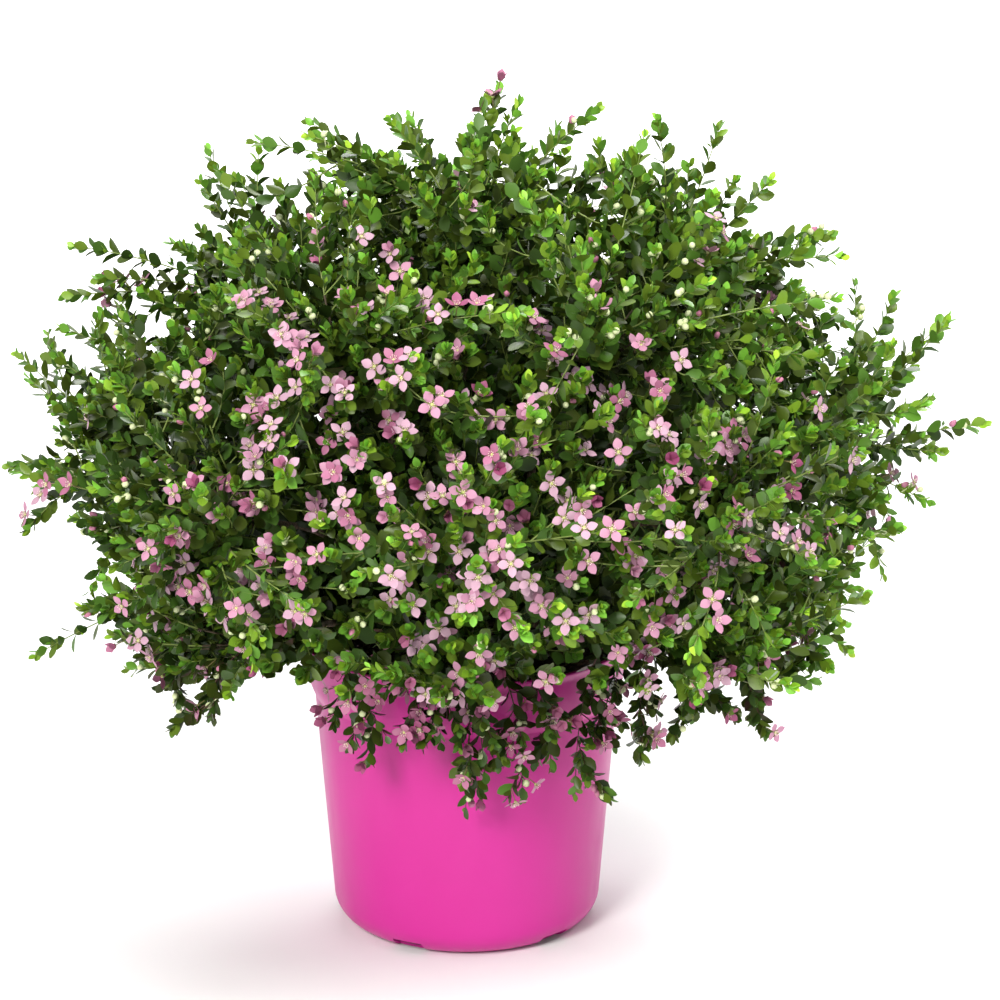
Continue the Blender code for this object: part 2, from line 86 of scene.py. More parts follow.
# %% Camera and lights
VIEW_HEIGHT = math.radians(16.5)
VIEW_DISTANCE = 2.6
AIM = Vector((0.0214, 0.0, 0.2766))
LENS = 149.0
SKY_STRENGTH = 0.49
LIGHTS = (
    ("key", (-1.15, -2.4, 1.8), (0.0, 0.0, 0.25), 0.9, 84.0, (1.0, 0.985, 0.95)),
    ("top", (1.2, -1.1, 2.6), (0.0, 0.0, 0.35), 1.1, 70.0, (1.0, 0.99, 0.96)),
    ("fill", (2.1, -1.8, 1.2), (0.0, 0.0, 0.25), 1.8, 3.0, (1.0, 1.0, 1.0)),
    ("background", (0.2, 2.6, 2.7), (0.2, 3.4, 0.0), 2.2, 205.0, (1.0, 1.0, 1.0)),
)


def placed(name, data):
    """A new object in the scene."""
    made = bpy.data.objects.new(name, data)
    bpy.context.scene.collection.objects.link(made)
    return made


def area_light(name, place, aim, size, watts, colour):
    data = bpy.data.lights.new(name, "AREA")
    data.size, data.energy, data.color = size, watts, colour
    lamp = placed(name, data)
    lamp.location = place
    lamp.rotation_euler = (Vector(aim) - Vector(place)).to_track_quat("-Z", "Y").to_euler()


camera_data = bpy.data.cameras.new("camera")
camera_data.lens = LENS
camera = placed("camera", camera_data)
camera.location = AIM + Vector((0.0, -math.cos(VIEW_HEIGHT), math.sin(VIEW_HEIGHT))) * VIEW_DISTANCE
camera.rotation_euler = (math.pi / 2 - VIEW_HEIGHT, 0.0, 0.0)
bpy.context.scene.camera = camera
bpy.context.scene.view_settings.view_transform = "Standard"
for light in LIGHTS:
    area_light(*light)

world = bpy.data.worlds.new("studio")
world.use_nodes = True
sky = world.node_tree.nodes["Background"]
sky.inputs["Color"].default_value = (1.0, 1.0, 1.0, 1.0)
sky.inputs["Strength"].default_value = SKY_STRENGTH
bpy.context.scene.world = world
print("camera at", [round(value, 3) for value in camera.location], "lights", len(LIGHTS))

# %% [markdown]
# ## Node trees as Python
#
# A material is a graph of nodes, but a graph is easier to read as a formula. `Value` wraps a
# socket, so that `0.3 + 0.14 * rub` adds the Math nodes by itself. `Graph` is a tree of nodes: its
# method `node` makes any other node, with its settings first and its sockets after. `Finish` is
# the graph of one material, and the two trees of Geometry Nodes further down are graphs too.


# %% Value, Graph and Finish
class Value:
    """A socket that takes part in Python arithmetic."""

    def __init__(self, graph, socket):
        self.graph, self.socket = graph, socket

    def maths(self, operation, first, second):
        return self.graph.node("ShaderNodeMath", {"operation": operation}, slots={0: first, 1: second})

    def __add__(self, other):
        return self.maths("ADD", self, other)

    def __radd__(self, other):
        return self.maths("ADD", other, self)

    def __mul__(self, other):
        return self.maths("MULTIPLY", self, other)

    def __rmul__(self, other):
        return self.maths("MULTIPLY", other, self)


class Graph:
    """A node tree whose nodes all come from one method."""

    def __init__(self, tree):
        self.tree = tree

    def connect(self, slot, term):
        """Links a Value to a socket, or sets the socket to a plain number or colour."""
        if isinstance(term, Value):
            self.tree.links.new(term.socket, slot)
        elif hasattr(slot.default_value, "__len__") and len(slot.default_value) == 4:
            slot.default_value = (*term[:3], 1.0)
        else:
            slot.default_value = term

    def node(self, kind, settings=None, output=0, slots=None, **sockets):
        """A node and one of its outputs. Sockets go by name, or by number where names repeat."""
        made = self.tree.nodes.new(kind)
        for setting, value in (settings or {}).items():
            setattr(made, setting, value)
        named = {label.replace("_", " "): term for label, term in sockets.items()}
        for slot, term in {**(slots or {}), **named}.items():
            self.connect(made.inputs[slot], term)
        return Value(self, made.outputs[output])


class Finish(Graph):
    """A material with a Principled shader, whose plain values are set by name."""

    def __init__(self, name, colour, roughness, **plain):
        self.material = bpy.data.materials.new(name)
        self.material.use_nodes = True
        self.material.diffuse_color = (*colour, 1.0)
        super().__init__(self.material.node_tree)
        self.shader = self.tree.nodes["Principled BSDF"]
        self.feed("Base Color", colour)
        self.feed("Roughness", roughness)
        for socket, value in plain.items():
            self.feed(socket.replace("_", " "), value)

    def feed(self, socket, term):
        self.connect(self.shader.inputs[socket], term)

    def place(self, stretch=(1.0, 1.0, 1.0)):
        """Object coordinates, stretched along the axes."""
        spot = self.node("ShaderNodeTexCoord", output="Object")
        return self.node("ShaderNodeMapping", Vector=spot, Scale=stretch)

    def noise(self, spot, scale, detail=2.0, rough=0.5):
        return self.node("ShaderNodeTexNoise", Vector=spot, Scale=scale, Detail=detail, Roughness=rough)

    def ramp(self, value, low, high):
        """A value stretched from low..high to 0..1, and cut there."""
        return self.node("ShaderNodeMapRange", Value=value, From_Min=low, From_Max=high)

    def mix(self, share, first, second):
        """A colour between two, through the Mix node's colour sockets."""
        return self.node("ShaderNodeMix", {"data_type": "RGBA"}, 2, {0: share, 6: first, 7: second})

    def bump(self, height, distance, strength=1.0):
        self.feed("Normal", self.node("ShaderNodeBump", Height=height, Distance=distance, Strength=strength))


# %% The floor
FLOOR_GREY, FLOOR_HALF = 0.84, 30.0


def mesh_from(build, *values):
    work = bmesh.new()
    build(work, *values)
    mesh = bpy.data.meshes.new("shape")
    work.to_mesh(mesh)
    work.free()
    return mesh


def floor_grid(work):
    bmesh.ops.create_grid(work, x_segments=1, y_segments=1, size=FLOOR_HALF)


floor = placed("floor", mesh_from(floor_grid))
floor.data.materials.append(Finish("studio_floor", (FLOOR_GREY,) * 3, 0.9).material)
floor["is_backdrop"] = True
print("floor laid, half width", FLOOR_HALF)

# %% [markdown]
# ## Turning modifiers into plain meshes
#
# A piece may be built by a modifier, but the finished piece is a plain mesh that sits at the
# origin. `finished` takes the mesh that the modifiers made, puts it in one new object, parents it
# to the body that it rides on, and hides the solids that it stands for. The source is removed.


# %% Helpers for finished pieces
def evaluated_mesh(source):
    graph = bpy.context.evaluated_depsgraph_get()
    return bpy.data.meshes.new_from_object(source.evaluated_get(graph))


def finished(name, mesh, slot, nodes=(), finish=None, smooth=True):
    if finish:
        mesh.materials.clear()
        mesh.materials.append(finish.material)
    if smooth:
        mesh.shade_smooth()
    piece = placed(name, mesh)
    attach(piece, ROOT)
    if nodes:
        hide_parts(*nodes)
    mesh.calc_loop_triangles()
    print(name, len(mesh.loop_triangles), "triangles")


def hidden(name, data):
    """A helper object that shapes a piece and never shows."""
    made = placed(name, data)
    made.hide_render = True
    return made


def remove(*objects):
    for old in objects:
        bpy.data.objects.remove(old)


# %% [markdown]
# ## The pot
#
# A nursery pot is blown or moulded in one thin skin: a lip that flares outwards, a collar that
# stops stacked pots from jamming, a short slant in to a fine line, a plain tapering wall, and a
# rounded foot with slots in its edge to let water out. All of it but the slots is one profile, so
# it is turned. The profile is written as arcs, bends and straight lines, and five rounded blocks
# then cut the slots.

# %% The pot's profile
WALL = 0.0016
LIP_EDGE, LIP_HEIGHT = 0.0026, 0.008
RIM_ROUND, INNER_ROUND = 0.0009, 0.0007
FLARE_START, FLARE_TURN = (-0.0006, -0.0022), (0.0002, -0.0045)
COLLAR_TOP_RADIUS, COLLAR_LOW_RADIUS, COLLAR_LOW = 0.1016, 0.1000, 0.162
COLLAR_INSIDE = 0.0006
SLANT_START, SLANT_TURN, SLANT_END = (0.0001, 0.0016), (-0.0002, -0.0022), (0.0008, 0.0022)
BODY_TOP_RADIUS, BODY_TOP = 0.0962, 0.152
LINE_DEEP, LINE_HALF = 0.00012, 0.0005
BASE_RADIUS = 0.0853
FOOT_FILLET = 0.019
POT_STEPS, MERGE = 160, 0.00003
SHARP = math.radians(34)
SLOTS, FIRST_SLOT = 5, math.radians(-117.5)
SLOT_INNER, SLOT_WIDTH, SLOT_HEIGHT, SLOT_ROUND = 0.070, 0.021, 0.008, 0.0012
PAST_CUT = 0.010


def arc(centre, radius, start, end, steps):
    """Points on an arc in the (radius, height) plane, from start to end in degrees."""
    turns = [math.radians(start + (end - start) * step / steps) for step in range(steps + 1)]
    return [(centre[0] + radius * math.cos(turn), centre[1] + radius * math.sin(turn)) for turn in turns]


def flat_bend(start, control, end, count):
    """Points on a curve in the (radius, height) plane, from start towards control and on to end."""
    made = []
    for step in range(count + 1):
        t = step / count
        shares = ((1 - t) ** 2, 2 * t * (1 - t), t**2)
        made.append([sum(map(operator.mul, shares, terms)) for terms in zip(start, control, end)])
    return made


def shifted(place, by):
    return (place[0] + by[0], place[1] + by[1])


def pot_profile():
    lip, collar_low = (LIP_RADIUS, POT_HEIGHT), (COLLAR_LOW_RADIUS, COLLAR_LOW)
    collar_top = (COLLAR_TOP_RADIUS, POT_HEIGHT - LIP_HEIGHT)
    rim = arc(shifted(lip, (-RIM_ROUND, -RIM_ROUND)), RIM_ROUND, 90, -30, 5)
    flare_turn = shifted((COLLAR_TOP_RADIUS, POT_HEIGHT), FLARE_TURN)
    flare = flat_bend(shifted(lip, FLARE_START), flare_turn, collar_top, 5)
    slant_end = shifted((BODY_TOP_RADIUS, BODY_TOP), SLANT_END)
    slant = flat_bend(shifted(collar_low, SLANT_START), shifted(collar_low, SLANT_TURN), slant_end, 6)
    line = [
        (BODY_TOP_RADIUS, BODY_TOP + LINE_HALF),
        (BODY_TOP_RADIUS - LINE_DEEP, BODY_TOP),
        (BODY_TOP_RADIUS, BODY_TOP - LINE_HALF),
    ]
    foot_centre = (BASE_RADIUS - FOOT_FILLET, FOOT_FILLET)
    outside = [*rim, *flare, *slant, *line, *arc(foot_centre, FOOT_FILLET, 0, -90, 12), (0.0, 0.0)]
    inside = [
        (0.0, WALL),
        *arc(foot_centre, FOOT_FILLET - WALL, -90, 0, 8),
        (BODY_TOP_RADIUS - LINE_DEEP - WALL, BODY_TOP),
        (COLLAR_LOW_RADIUS - WALL - COLLAR_INSIDE, COLLAR_LOW),
        (COLLAR_TOP_RADIUS - WALL, POT_HEIGHT - LIP_HEIGHT),
    ]
    inner_rim = arc((LIP_RADIUS - LIP_EDGE + INNER_ROUND, POT_HEIGHT - INNER_ROUND), INNER_ROUND, 180, 90, 3)
    return [*inside, *inner_rim, *outside]


def turned_mesh(profile, steps):
    def outline(work):
        corners = [work.verts.new((radius, 0.0, height)) for radius, height in profile]
        for first, second in zip(corners, corners[1:]):
            work.edges.new((first, second))

    source = hidden("profile", mesh_from(outline))
    screw = source.modifiers.new("Screw", "SCREW")
    screw.steps = screw.render_steps = steps
    screw.use_merge_vertices = True
    screw.merge_threshold = MERGE
    made = evaluated_mesh(source)
    remove(source)
    return made


def slot_cutters(work):
    """Five blocks with rounded upper edges, which cut the slots in one go."""
    size = Vector((BASE_RADIUS + PAST_CUT - SLOT_INNER, SLOT_WIDTH, SLOT_HEIGHT + PAST_CUT))
    middle = Vector((SLOT_INNER + size.x / 2, 0.0, SLOT_HEIGHT - size.z / 2))
    for index in range(SLOTS):
        turn = Matrix.Rotation(FIRST_SLOT + math.tau * index / SLOTS, 4, "Z")
        place = turn @ Matrix.Translation(middle) @ Matrix.Diagonal((*size, 1.0))
        made = bmesh.ops.create_cube(work, size=1.0, matrix=place)
        edges = {edge for corner in made["verts"] for edge in corner.link_edges}
        high = [edge for edge in edges if all(end.co.z > 0.0 for end in edge.verts)]
        bmesh.ops.bevel(work, geom=high, offset=SLOT_ROUND, segments=3, affect="EDGES", profile=0.5)


def make_pot(finish):
    body = hidden("pot_body", turned_mesh(pot_profile(), POT_STEPS))
    cutter = hidden("slot_cutter", mesh_from(slot_cutters))
    cut = body.modifiers.new("Slots", "BOOLEAN")
    cut.operation = "DIFFERENCE"
    cut.object = cutter
    mesh = evaluated_mesh(body)
    remove(body, cutter)
    mesh.shade_smooth()
    mesh.set_sharp_from_angle(angle=SHARP)
    finished("pot_shell", mesh, "pot_plastic", ["pot"], finish, smooth=False)


# %% [markdown]
# ## Magenta plastic
#
# Blown plastic isn't quite even: the skin is a little thicker and darker in places, it has a very
# fine orange peel, and handling leaves faint dull rubs. Broad noise moves the colour a little,
# finer noise moves the roughness, and a very low bump breaks the highlight up.

# %% Magenta plastic finish
magenta = Finish("magenta_plastic", (0.52, 0.017, 0.255), 0.36, Specular_IOR_Level=0.36)
cloud = magenta.ramp(magenta.noise(magenta.place(), 9.0, 3.0), 0.3, 0.7)
rub = magenta.ramp(magenta.noise(magenta.place((1.0, 1.0, 0.25)), 60.0, 4.0, 0.6), 0.35, 0.7)
peel = magenta.noise(magenta.place(), 900.0, 1.0)
magenta.feed("Base Color", magenta.mix(cloud, (0.51, 0.014, 0.240), (0.56, 0.020, 0.276)))
magenta.feed("Roughness", 0.30 + 0.14 * rub)
magenta.bump(peel, 0.00004, 0.5)
make_pot(magenta)

# %% [markdown]
# ## Potting mix
#
# Under the shrub the mix is a dark, lumpy bed of composted bark with pale grains of perlite. Its
# surface is a disc whose rings are lifted by noise, closed down the pot's inner wall. The chips and
# grains on it are dealt out further down, with the tool that also deals the leaves.

# %% The bed of mix
MIX_RINGS, MIX_SECTORS = 26, 84
MIX_EDGE = 0.0980
MIX_LUMP, MIX_RISE = 0.0022, 0.0006
BROAD_LUMPS, FINE_LUMPS = 55.0, 150.0
WALL_CLEAR, FOOT_CLEAR = 0.0012, 0.0004


def mix_height(x, y):
    spot = Vector((x, y, 0.0))
    return MIX_LUMP * (noise.noise(spot * BROAD_LUMPS) + 0.5 * noise.noise(spot * FINE_LUMPS)) + MIX_RISE


def mix_bed(work):
    """Rings of corners from the middle out, then down the wall and closed underneath."""
    turns = [math.tau * sector / MIX_SECTORS for sector in range(MIX_SECTORS)]
    rings = [[work.verts.new((0.0, 0.0, MIX_LEVEL + mix_height(0.0, 0.0)))]]
    for ring in range(1, MIX_RINGS + 1):
        radius = MIX_EDGE * ring / MIX_RINGS
        flat = [(radius * math.cos(turn), radius * math.sin(turn)) for turn in turns]
        rings.append([work.verts.new((x, y, MIX_LEVEL + mix_height(x, y))) for x, y in flat])
    inset = WALL + WALL_CLEAR
    wall = [(COLLAR_LOW_RADIUS - inset, COLLAR_LOW), (BODY_TOP_RADIUS - inset, BODY_TOP)]
    wall += arc((BASE_RADIUS - FOOT_FILLET, FOOT_FILLET), FOOT_FILLET - WALL - FOOT_CLEAR, 0, -90, 5)
    for radius, height in wall:
        rings.append([work.verts.new((radius * math.cos(t), radius * math.sin(t), height)) for t in turns])
    for sector in range(MIX_SECTORS):
        after = (sector + 1) % MIX_SECTORS
        work.faces.new((rings[0][0], rings[1][sector], rings[1][after]))
    for inner, outer in zip(rings[1:], rings[2:]):
        for sector in range(MIX_SECTORS):
            after = (sector + 1) % MIX_SECTORS
            work.faces.new((inner[sector], outer[sector], outer[after], inner[after]))
    work.faces.new(list(reversed(rings[-1])))
    bmesh.ops.recalc_face_normals(work, faces=work.faces)


# %% Potting mix finish
mix_brown = Finish("potting_mix", (0.045, 0.028, 0.018), 0.95)
crumb = mix_brown.noise(mix_brown.place(), 420.0, 5.0, 0.7)
damp = mix_brown.ramp(mix_brown.noise(mix_brown.place(), 60.0, 3.0), 0.4, 0.7)
crumbs = mix_brown.mix(mix_brown.ramp(crumb, 0.38, 0.66), (0.018, 0.011, 0.007), (0.095, 0.058, 0.034))
mix_brown.feed("Base Color", mix_brown.mix(0.5 * damp, crumbs, (0.05, 0.035, 0.024)))
mix_brown.bump(crumb, 0.0012, 0.8)
finished("mix_bed", mesh_from(mix_bed), "potting_mix", ["potting_mix"], mix_brown)

# %% [markdown]
# ## Two small Geometry Nodes trees
#
# `deal` puts a copy of one small shape at each point, turned and sized by two attributes that the
# growing code stores on the points. `tubes` runs a many-sided tube along every curve, as thick as
# the curve's own radius says, and can push its skin out by noise. Each tree ends in Set Material,
# after Realize Instances where it has instances, so that the result is one plain mesh.

# %% The node trees
FISSURES, FISSURE_SQUEEZE = 520.0, (1.0, 1.0, 0.22)


def new_tree(name, *inputs):
    """A geometry tree. Returns its graph, its inputs as Values by name, and its output socket."""
    tree = bpy.data.node_groups.new(name, "GeometryNodeTree")
    for label, kind in (("Geometry", "Geometry"), ("Finish", "Material"), *inputs):
        tree.interface.new_socket(label, in_out="INPUT", socket_type="NodeSocket" + kind)
    tree.interface.new_socket("Geometry", in_out="OUTPUT", socket_type="NodeSocketGeometry")
    graph = Graph(tree)
    given = {socket.name: Value(graph, socket) for socket in tree.nodes.new("NodeGroupInput").outputs}
    return graph, given, tree.nodes.new("NodeGroupOutput").inputs[0]


def deal_tree():
    graph, given, result = new_tree("deal", ("Shape", "Object"))
    turn, size = (
        graph.node("GeometryNodeInputNamedAttribute", {"data_type": "FLOAT_VECTOR"}, "Attribute", Name=name)
        for name in ("turn", "size")
    )
    shape = graph.node("GeometryNodeObjectInfo", output="Geometry", Object=given["Shape"])
    copies = graph.node(
        "GeometryNodeInstanceOnPoints", Points=given["Geometry"], Instance=shape, Rotation=turn, Scale=size
    )
    real = graph.node("GeometryNodeRealizeInstances", Geometry=copies)
    graph.connect(result, graph.node("GeometryNodeSetMaterial", Geometry=real, Material=given["Finish"]))
    return graph.tree


def tube_tree():
    graph, given, result = new_tree("tubes", ("Sides", "Int"), ("Step", "Float"), ("Relief", "Float"))
    ring = graph.node("GeometryNodeCurvePrimitiveCircle", Resolution=given["Sides"], Radius=1.0)
    even = graph.node(
        "GeometryNodeResampleCurve", {"mode": "LENGTH"}, Curve=given["Geometry"], Length=given["Step"]
    )
    thick = graph.node("GeometryNodeInputRadius")
    skin = graph.node("GeometryNodeCurveToMesh", Curve=even, Profile_Curve=ring, Scale=thick, Fill_Caps=True)
    spot = graph.node("GeometryNodeInputPosition")
    long = graph.node("ShaderNodeVectorMath", {"operation": "MULTIPLY"}, slots={0: spot, 1: FISSURE_SQUEEZE})
    lumps = graph.node("ShaderNodeTexNoise", Vector=long, Scale=FISSURES, Detail=3.0)
    outwards = graph.node("GeometryNodeInputNormal")
    push = graph.node(
        "ShaderNodeVectorMath", {"operation": "SCALE"}, slots={0: outwards}, Scale=lumps * given["Relief"]
    )
    moved = graph.node("GeometryNodeSetPosition", Geometry=skin, Offset=push)
    graph.connect(result, graph.node("GeometryNodeSetMaterial", Geometry=moved, Material=given["Finish"]))
    return graph.tree


DEAL, TUBES = deal_tree(), tube_tree()


def run_tree(name, data, tree, **values):
    """Runs a tree on new data, with its inputs set by their identifiers, and returns the mesh."""
    source = hidden(name, data)
    modifier = source.modifiers.new("Make", "NODES")
    modifier.node_group = tree
    for item in tree.interface.items_tree:
        if item.in_out == "INPUT" and item.name in values:
            modifier[item.identifier] = values[item.name]
    source.update_tag()
    made = evaluated_mesh(source)
    remove(source)
    return made


def deal(name, shape, rows, finish, slot, nodes=()):
    """One piece from rows of (place, turn, size)."""
    points = bpy.data.meshes.new("points")
    points.from_pydata([row[0] for row in rows], [], [])
    for label, column in (("turn", 1), ("size", 2)):
        layer = points.attributes.new(label, "FLOAT_VECTOR", "POINT")
        layer.data.foreach_set("vector", [value for row in rows for value in row[column]])
    made = run_tree(name + "_points", points, DEAL, Shape=shape, Finish=finish.material)
    finished(name, made, slot, nodes)


def tubes(name, lines, sides, step, relief, finish, slot, nodes=()):
    """One piece from lines, each a path and its radii."""
    curve = bpy.data.curves.new(name, "CURVE")
    curve.dimensions = "3D"
    for path, radii in lines:
        spline = curve.splines.new("POLY")
        spline.points.add(len(path) - 1)
        for point, place, radius in zip(spline.points, path, radii):
            point.co = (*place, 1.0)
            point.radius = radius
    values = {"Sides": sides, "Step": step, "Relief": relief, "Finish": finish.material}
    finished(name, run_tree(name + "_lines", curve, TUBES, **values), slot, nodes)


print("trees", DEAL.name, TUBES.name)

# %% Chips and grains on the mix
CHIPS, GRAINS, CHIP_SEED = 620, 90, 5
CHIP_SIZE, GRAIN_SIZE = (0.0022, 0.0060), (0.0012, 0.0024)
STREWN_TO, LIES, TUMBLE = 0.94, 0.0003, 0.5


def block(work):
    """A chip of bark: a small block with skewed ends."""
    made = bmesh.ops.create_cube(work, size=1.0)
    for corner in made["verts"]:
        x, y, z = corner.co
        corner.co = (x * (0.8 + 0.3 * y), y * 0.55 + 0.1 * z, z * 0.35 + 0.08 * x)


def grain(work):
    bmesh.ops.create_icosphere(work, subdivisions=1, radius=0.5)


def strewn(count, sizes, chance):
    """Rows for things that lie on the mix at random."""
    rows = []
    for _ in range(count):
        turn, out = chance.uniform(0.0, math.tau), STREWN_TO * MIX_EDGE * math.sqrt(chance.random())
        x, y = out * math.cos(turn), out * math.sin(turn)
        spot = (x, y, MIX_LEVEL + mix_height(x, y) + LIES)
        tilts = [chance.uniform(-TUMBLE, TUMBLE) for _ in range(2)]
        tumble = [*tilts, chance.uniform(0.0, math.tau)]
        rows.append((spot, tumble, (chance.uniform(*sizes),) * 3))
    return rows


strewing = random.Random(CHIP_SEED)
chip_shape, grain_shape = hidden("chip", mesh_from(block)), hidden("grain", mesh_from(grain))
chip_brown = Finish("bark_chip", (0.085, 0.048, 0.026), 0.9)
perlite = Finish("perlite", (0.62, 0.60, 0.56), 0.9)
deal("bark_chips", chip_shape, strewn(CHIPS, CHIP_SIZE, strewing), chip_brown, "potting_mix")
deal("perlite_grains", grain_shape, strewn(GRAINS, GRAIN_SIZE, strewing), perlite, "potting_mix")
remove(chip_shape, grain_shape)

# %% [markdown]
# ## The growth rule
#
# The shrub's skeleton is the one that the solids were made from: an even crown round a heart above
# the pot, rings of masses, a bough and a stem for each, and leaders that run from the stems to the
# crown's edge. The twelve outline shoots are the long ones that end the crown against the white in
# the photograph. The same sizes are named here again, so that twigs grow where the limbs are.

# %% Sizes of the skeleton
UP = Vector((0.0, 0.0, 1.0))
HEART = Vector((0.0, 0.0, 0.235))
REACH_AT = (
    (0, 0.308), (30, 0.326), (42, 0.316), (70, 0.346),
    (86, 0.290), (98, 0.272), (112, 0.220), (124, 0.175), (180, 0.160),
)
RIGHT_EXTRA, FRONT_FLATTER, SKIRT_FLATTER = 0.030, 0.05, 0.13
SKIRT_STARTS, SKIRT_FULL = 78.0, 100.0
OUTLINE_LEAN = math.radians(16.5)
OUTLINE_SHOOTS = (
    (-102, 0.284), (-80, 0.281), (-65, 0.318), (-51, 0.324), (-32, 0.313), (-9, 0.292),
    (4, 0.307), (30, 0.328), (48, 0.316), (63, 0.347), (75, 0.344), (103, 0.255),
)
OUTLINE_CLEAR = 10.0
RINGS = (("top", 0.0, 1, 0.0), ("upper", 39.0, 5, 18.0), ("middle", 71.0, 8, 0.0), ("skirt", 98.0, 7, -90.0))
BOUGH_LEAVES_AT = {"top": 0.95, "upper": 0.86, "middle": 0.62, "skirt": 0.36}
BOUGH_BASE_RADIUS = {"top": 0.0042, "upper": 0.0029, "middle": 0.0026, "skirt": 0.0025}
BOUGH_REACH, SKIRT_ARCH, BOUGH_RISE, BOUGH_OUT = 0.118, 0.022, 0.35, 0.45
TRUNK_HEIGHT, TRUNK_LEAN = 0.052, Vector((0.0025, 0.0010, 0.0))
TRUNK_PROFILE = ((0.0, 0.0125), (0.06, 0.0108), (0.18, 0.0092), (0.45, 0.0082), (1.0, 0.0070))
TRUNK_FOOT = MIX_LEVEL + 0.0003
STEM_END, STEM_EASE, STEM_TIP_RADIUS = 0.62, 0.4, 0.0013
BOUGH_FINE, STEM_FINE, TRUNK_FINE = 16, 9, 25
LEADERS, LOWEST_LEADER = 90, 109.0
GOLDEN_ANGLE = math.pi * (3 - math.sqrt(5))
LEADER_SPREAD, LEADERS_LEAVE_AT = 0.92, (0.50, 0.98)


# %% The skeleton's functions
def between(first, second, share):
    return first + (second - first) * share


def shares_of(count):
    return [step / (count - 1) for step in range(count)]


def taper(count, wide, thin):
    return [between(wide, thin, share) for share in shares_of(count)]


def bend(start, control, end, count):
    return [between(between(start, control, t), between(control, end, t), t) for t in shares_of(count)]


def point_along(path, share):
    place = min(max(share, 0.0), 0.9999) * (len(path) - 1)
    index = int(place)
    step = path[index + 1] - path[index]
    return path[index] + step * (place - index), step.normalized()


def path_length(path):
    return sum((after - before).length for before, after in zip(path, path[1:]))


def direction_of(from_up, azimuth):
    tilt, turn = math.radians(from_up), math.radians(azimuth)
    return Vector((math.sin(tilt) * math.cos(turn), math.sin(tilt) * math.sin(turn), math.cos(tilt)))


def level_of(way):
    """A direction's length as seen from above, or 1 where it points straight up."""
    return Vector((way.x, way.y)).length or 1.0


def stepped(table, value):
    for (low, first), (high, second) in zip(table, table[1:]):
        if value <= high:
            return first + (second - first) * (value - low) / (high - low)
    return table[-1][1]


def crown_reach(way):
    from_up, level = math.degrees(way.angle(UP)), level_of(way)
    sideways, facing = way.x / level, (way.y / level) ** 2
    skirt = min(max((from_up - SKIRT_STARTS) / (SKIRT_FULL - SKIRT_STARTS), 0.0), 1.0)
    slant = math.sin(math.radians(from_up))
    flatter = between(FRONT_FLATTER, SKIRT_FLATTER, skirt) * facing * slant
    return stepped(REACH_AT, from_up) * (1 + RIGHT_EXTRA * sideways * slant - flatter)


def trunk_place(share):
    return Vector((0.0, 0.0, TRUNK_FOOT)) + UP * (TRUNK_HEIGHT * share) + TRUNK_LEAN * share**2


def bough_path(ring, way):
    start, end = trunk_place(BOUGH_LEAVES_AT[ring]), HEART + way * BOUGH_REACH
    if ring == "top":
        return bend(start, between(start, end, 0.5), end, BOUGH_FINE)
    outward = Vector((way.x, way.y, 0.0)).normalized()
    rise = SKIRT_ARCH if ring == "skirt" else (end.z - start.z) * BOUGH_RISE
    control = Vector((0.0, 0.0, start.z + rise)) + outward * BOUGH_REACH * BOUGH_OUT
    return bend(start, control, end, BOUGH_FINE)


def stem_path(bough, way):
    start, along = bough[-1], (bough[-1] - bough[-2]).normalized()
    end = HEART + way * crown_reach(way) * STEM_END
    return bend(start, start + along * (end - start).length * STEM_EASE, end, STEM_FINE)


def even_directions(count, lowest):
    """Directions spread evenly from straight up down to the angle lowest."""
    span = 1 - math.cos(math.radians(lowest))
    for index in range(count):
        from_up = math.degrees(math.acos(1 - span * (index + 0.5) / count))
        yield direction_of(from_up, math.degrees(GOLDEN_ANGLE * index))


def leader_directions():
    """Each leader's direction, with a reach of its own for the outline shoots and None for others."""
    top = Vector((0.0, math.sin(OUTLINE_LEAN), math.cos(OUTLINE_LEAN)))
    ends = []
    for turn, reach in OUTLINE_SHOOTS:
        angle = math.radians(turn)
        ends.append((Vector((math.sin(angle), 0.0, 0.0)) + top * math.cos(angle), reach))
    yield from ends
    clear = math.cos(math.radians(OUTLINE_CLEAR))
    for way in even_directions(LEADERS, LOWEST_LEADER):
        if all(way.dot(end) < clear for end, _ in ends):
            yield way, None


# %% [markdown]
# ## Limbs with bark
#
# The trunk and boughs get the fine, shallow fissures of young boronia bark. They are grown as
# tubes with many sides whose surface is pushed outwards by noise that is drawn out upwards, which
# makes short upright ridges.

# %% Limbs
LIMB_SIDES, LIMB_STEP, LIMB_RELIEF = 14, 0.0022, 0.0007
masses = []
for ring, from_up, count, first in RINGS:
    for index in range(count):
        way = direction_of(from_up, first + 360.0 * index / count)
        bough = bough_path(ring, way)
        masses.append({"ring": ring, "way": way, "bough": bough, "stem": stem_path(bough, way)})

shares = shares_of(TRUNK_FINE)
limb_lines = [([trunk_place(share) for share in shares], [stepped(TRUNK_PROFILE, share) for share in shares])]
for mass in masses:
    path = mass["bough"] + mass["stem"][1:]
    limb_lines.append((path, taper(len(path), BOUGH_BASE_RADIUS[mass["ring"]], STEM_TIP_RADIUS)))

bark = Finish("boronia_bark", (0.16, 0.105, 0.07), 0.85)
fibre = bark.noise(bark.place((1.0, 1.0, 0.16)), 900.0, 4.0, 0.65)
moss = bark.ramp(bark.noise(bark.place(), 70.0, 3.0), 0.45, 0.7)
fissured = bark.mix(bark.ramp(fibre, 0.36, 0.66), (0.055, 0.034, 0.022), (0.24, 0.17, 0.115))
bark.feed("Base Color", bark.mix(0.45 * moss, fissured, (0.17, 0.17, 0.12)))
bark.bump(fibre, 0.0005, 0.7)
tubes("bark_limbs", limb_lines, LIMB_SIDES, LIMB_STEP, LIMB_RELIEF, bark, "bark", LIMBS)

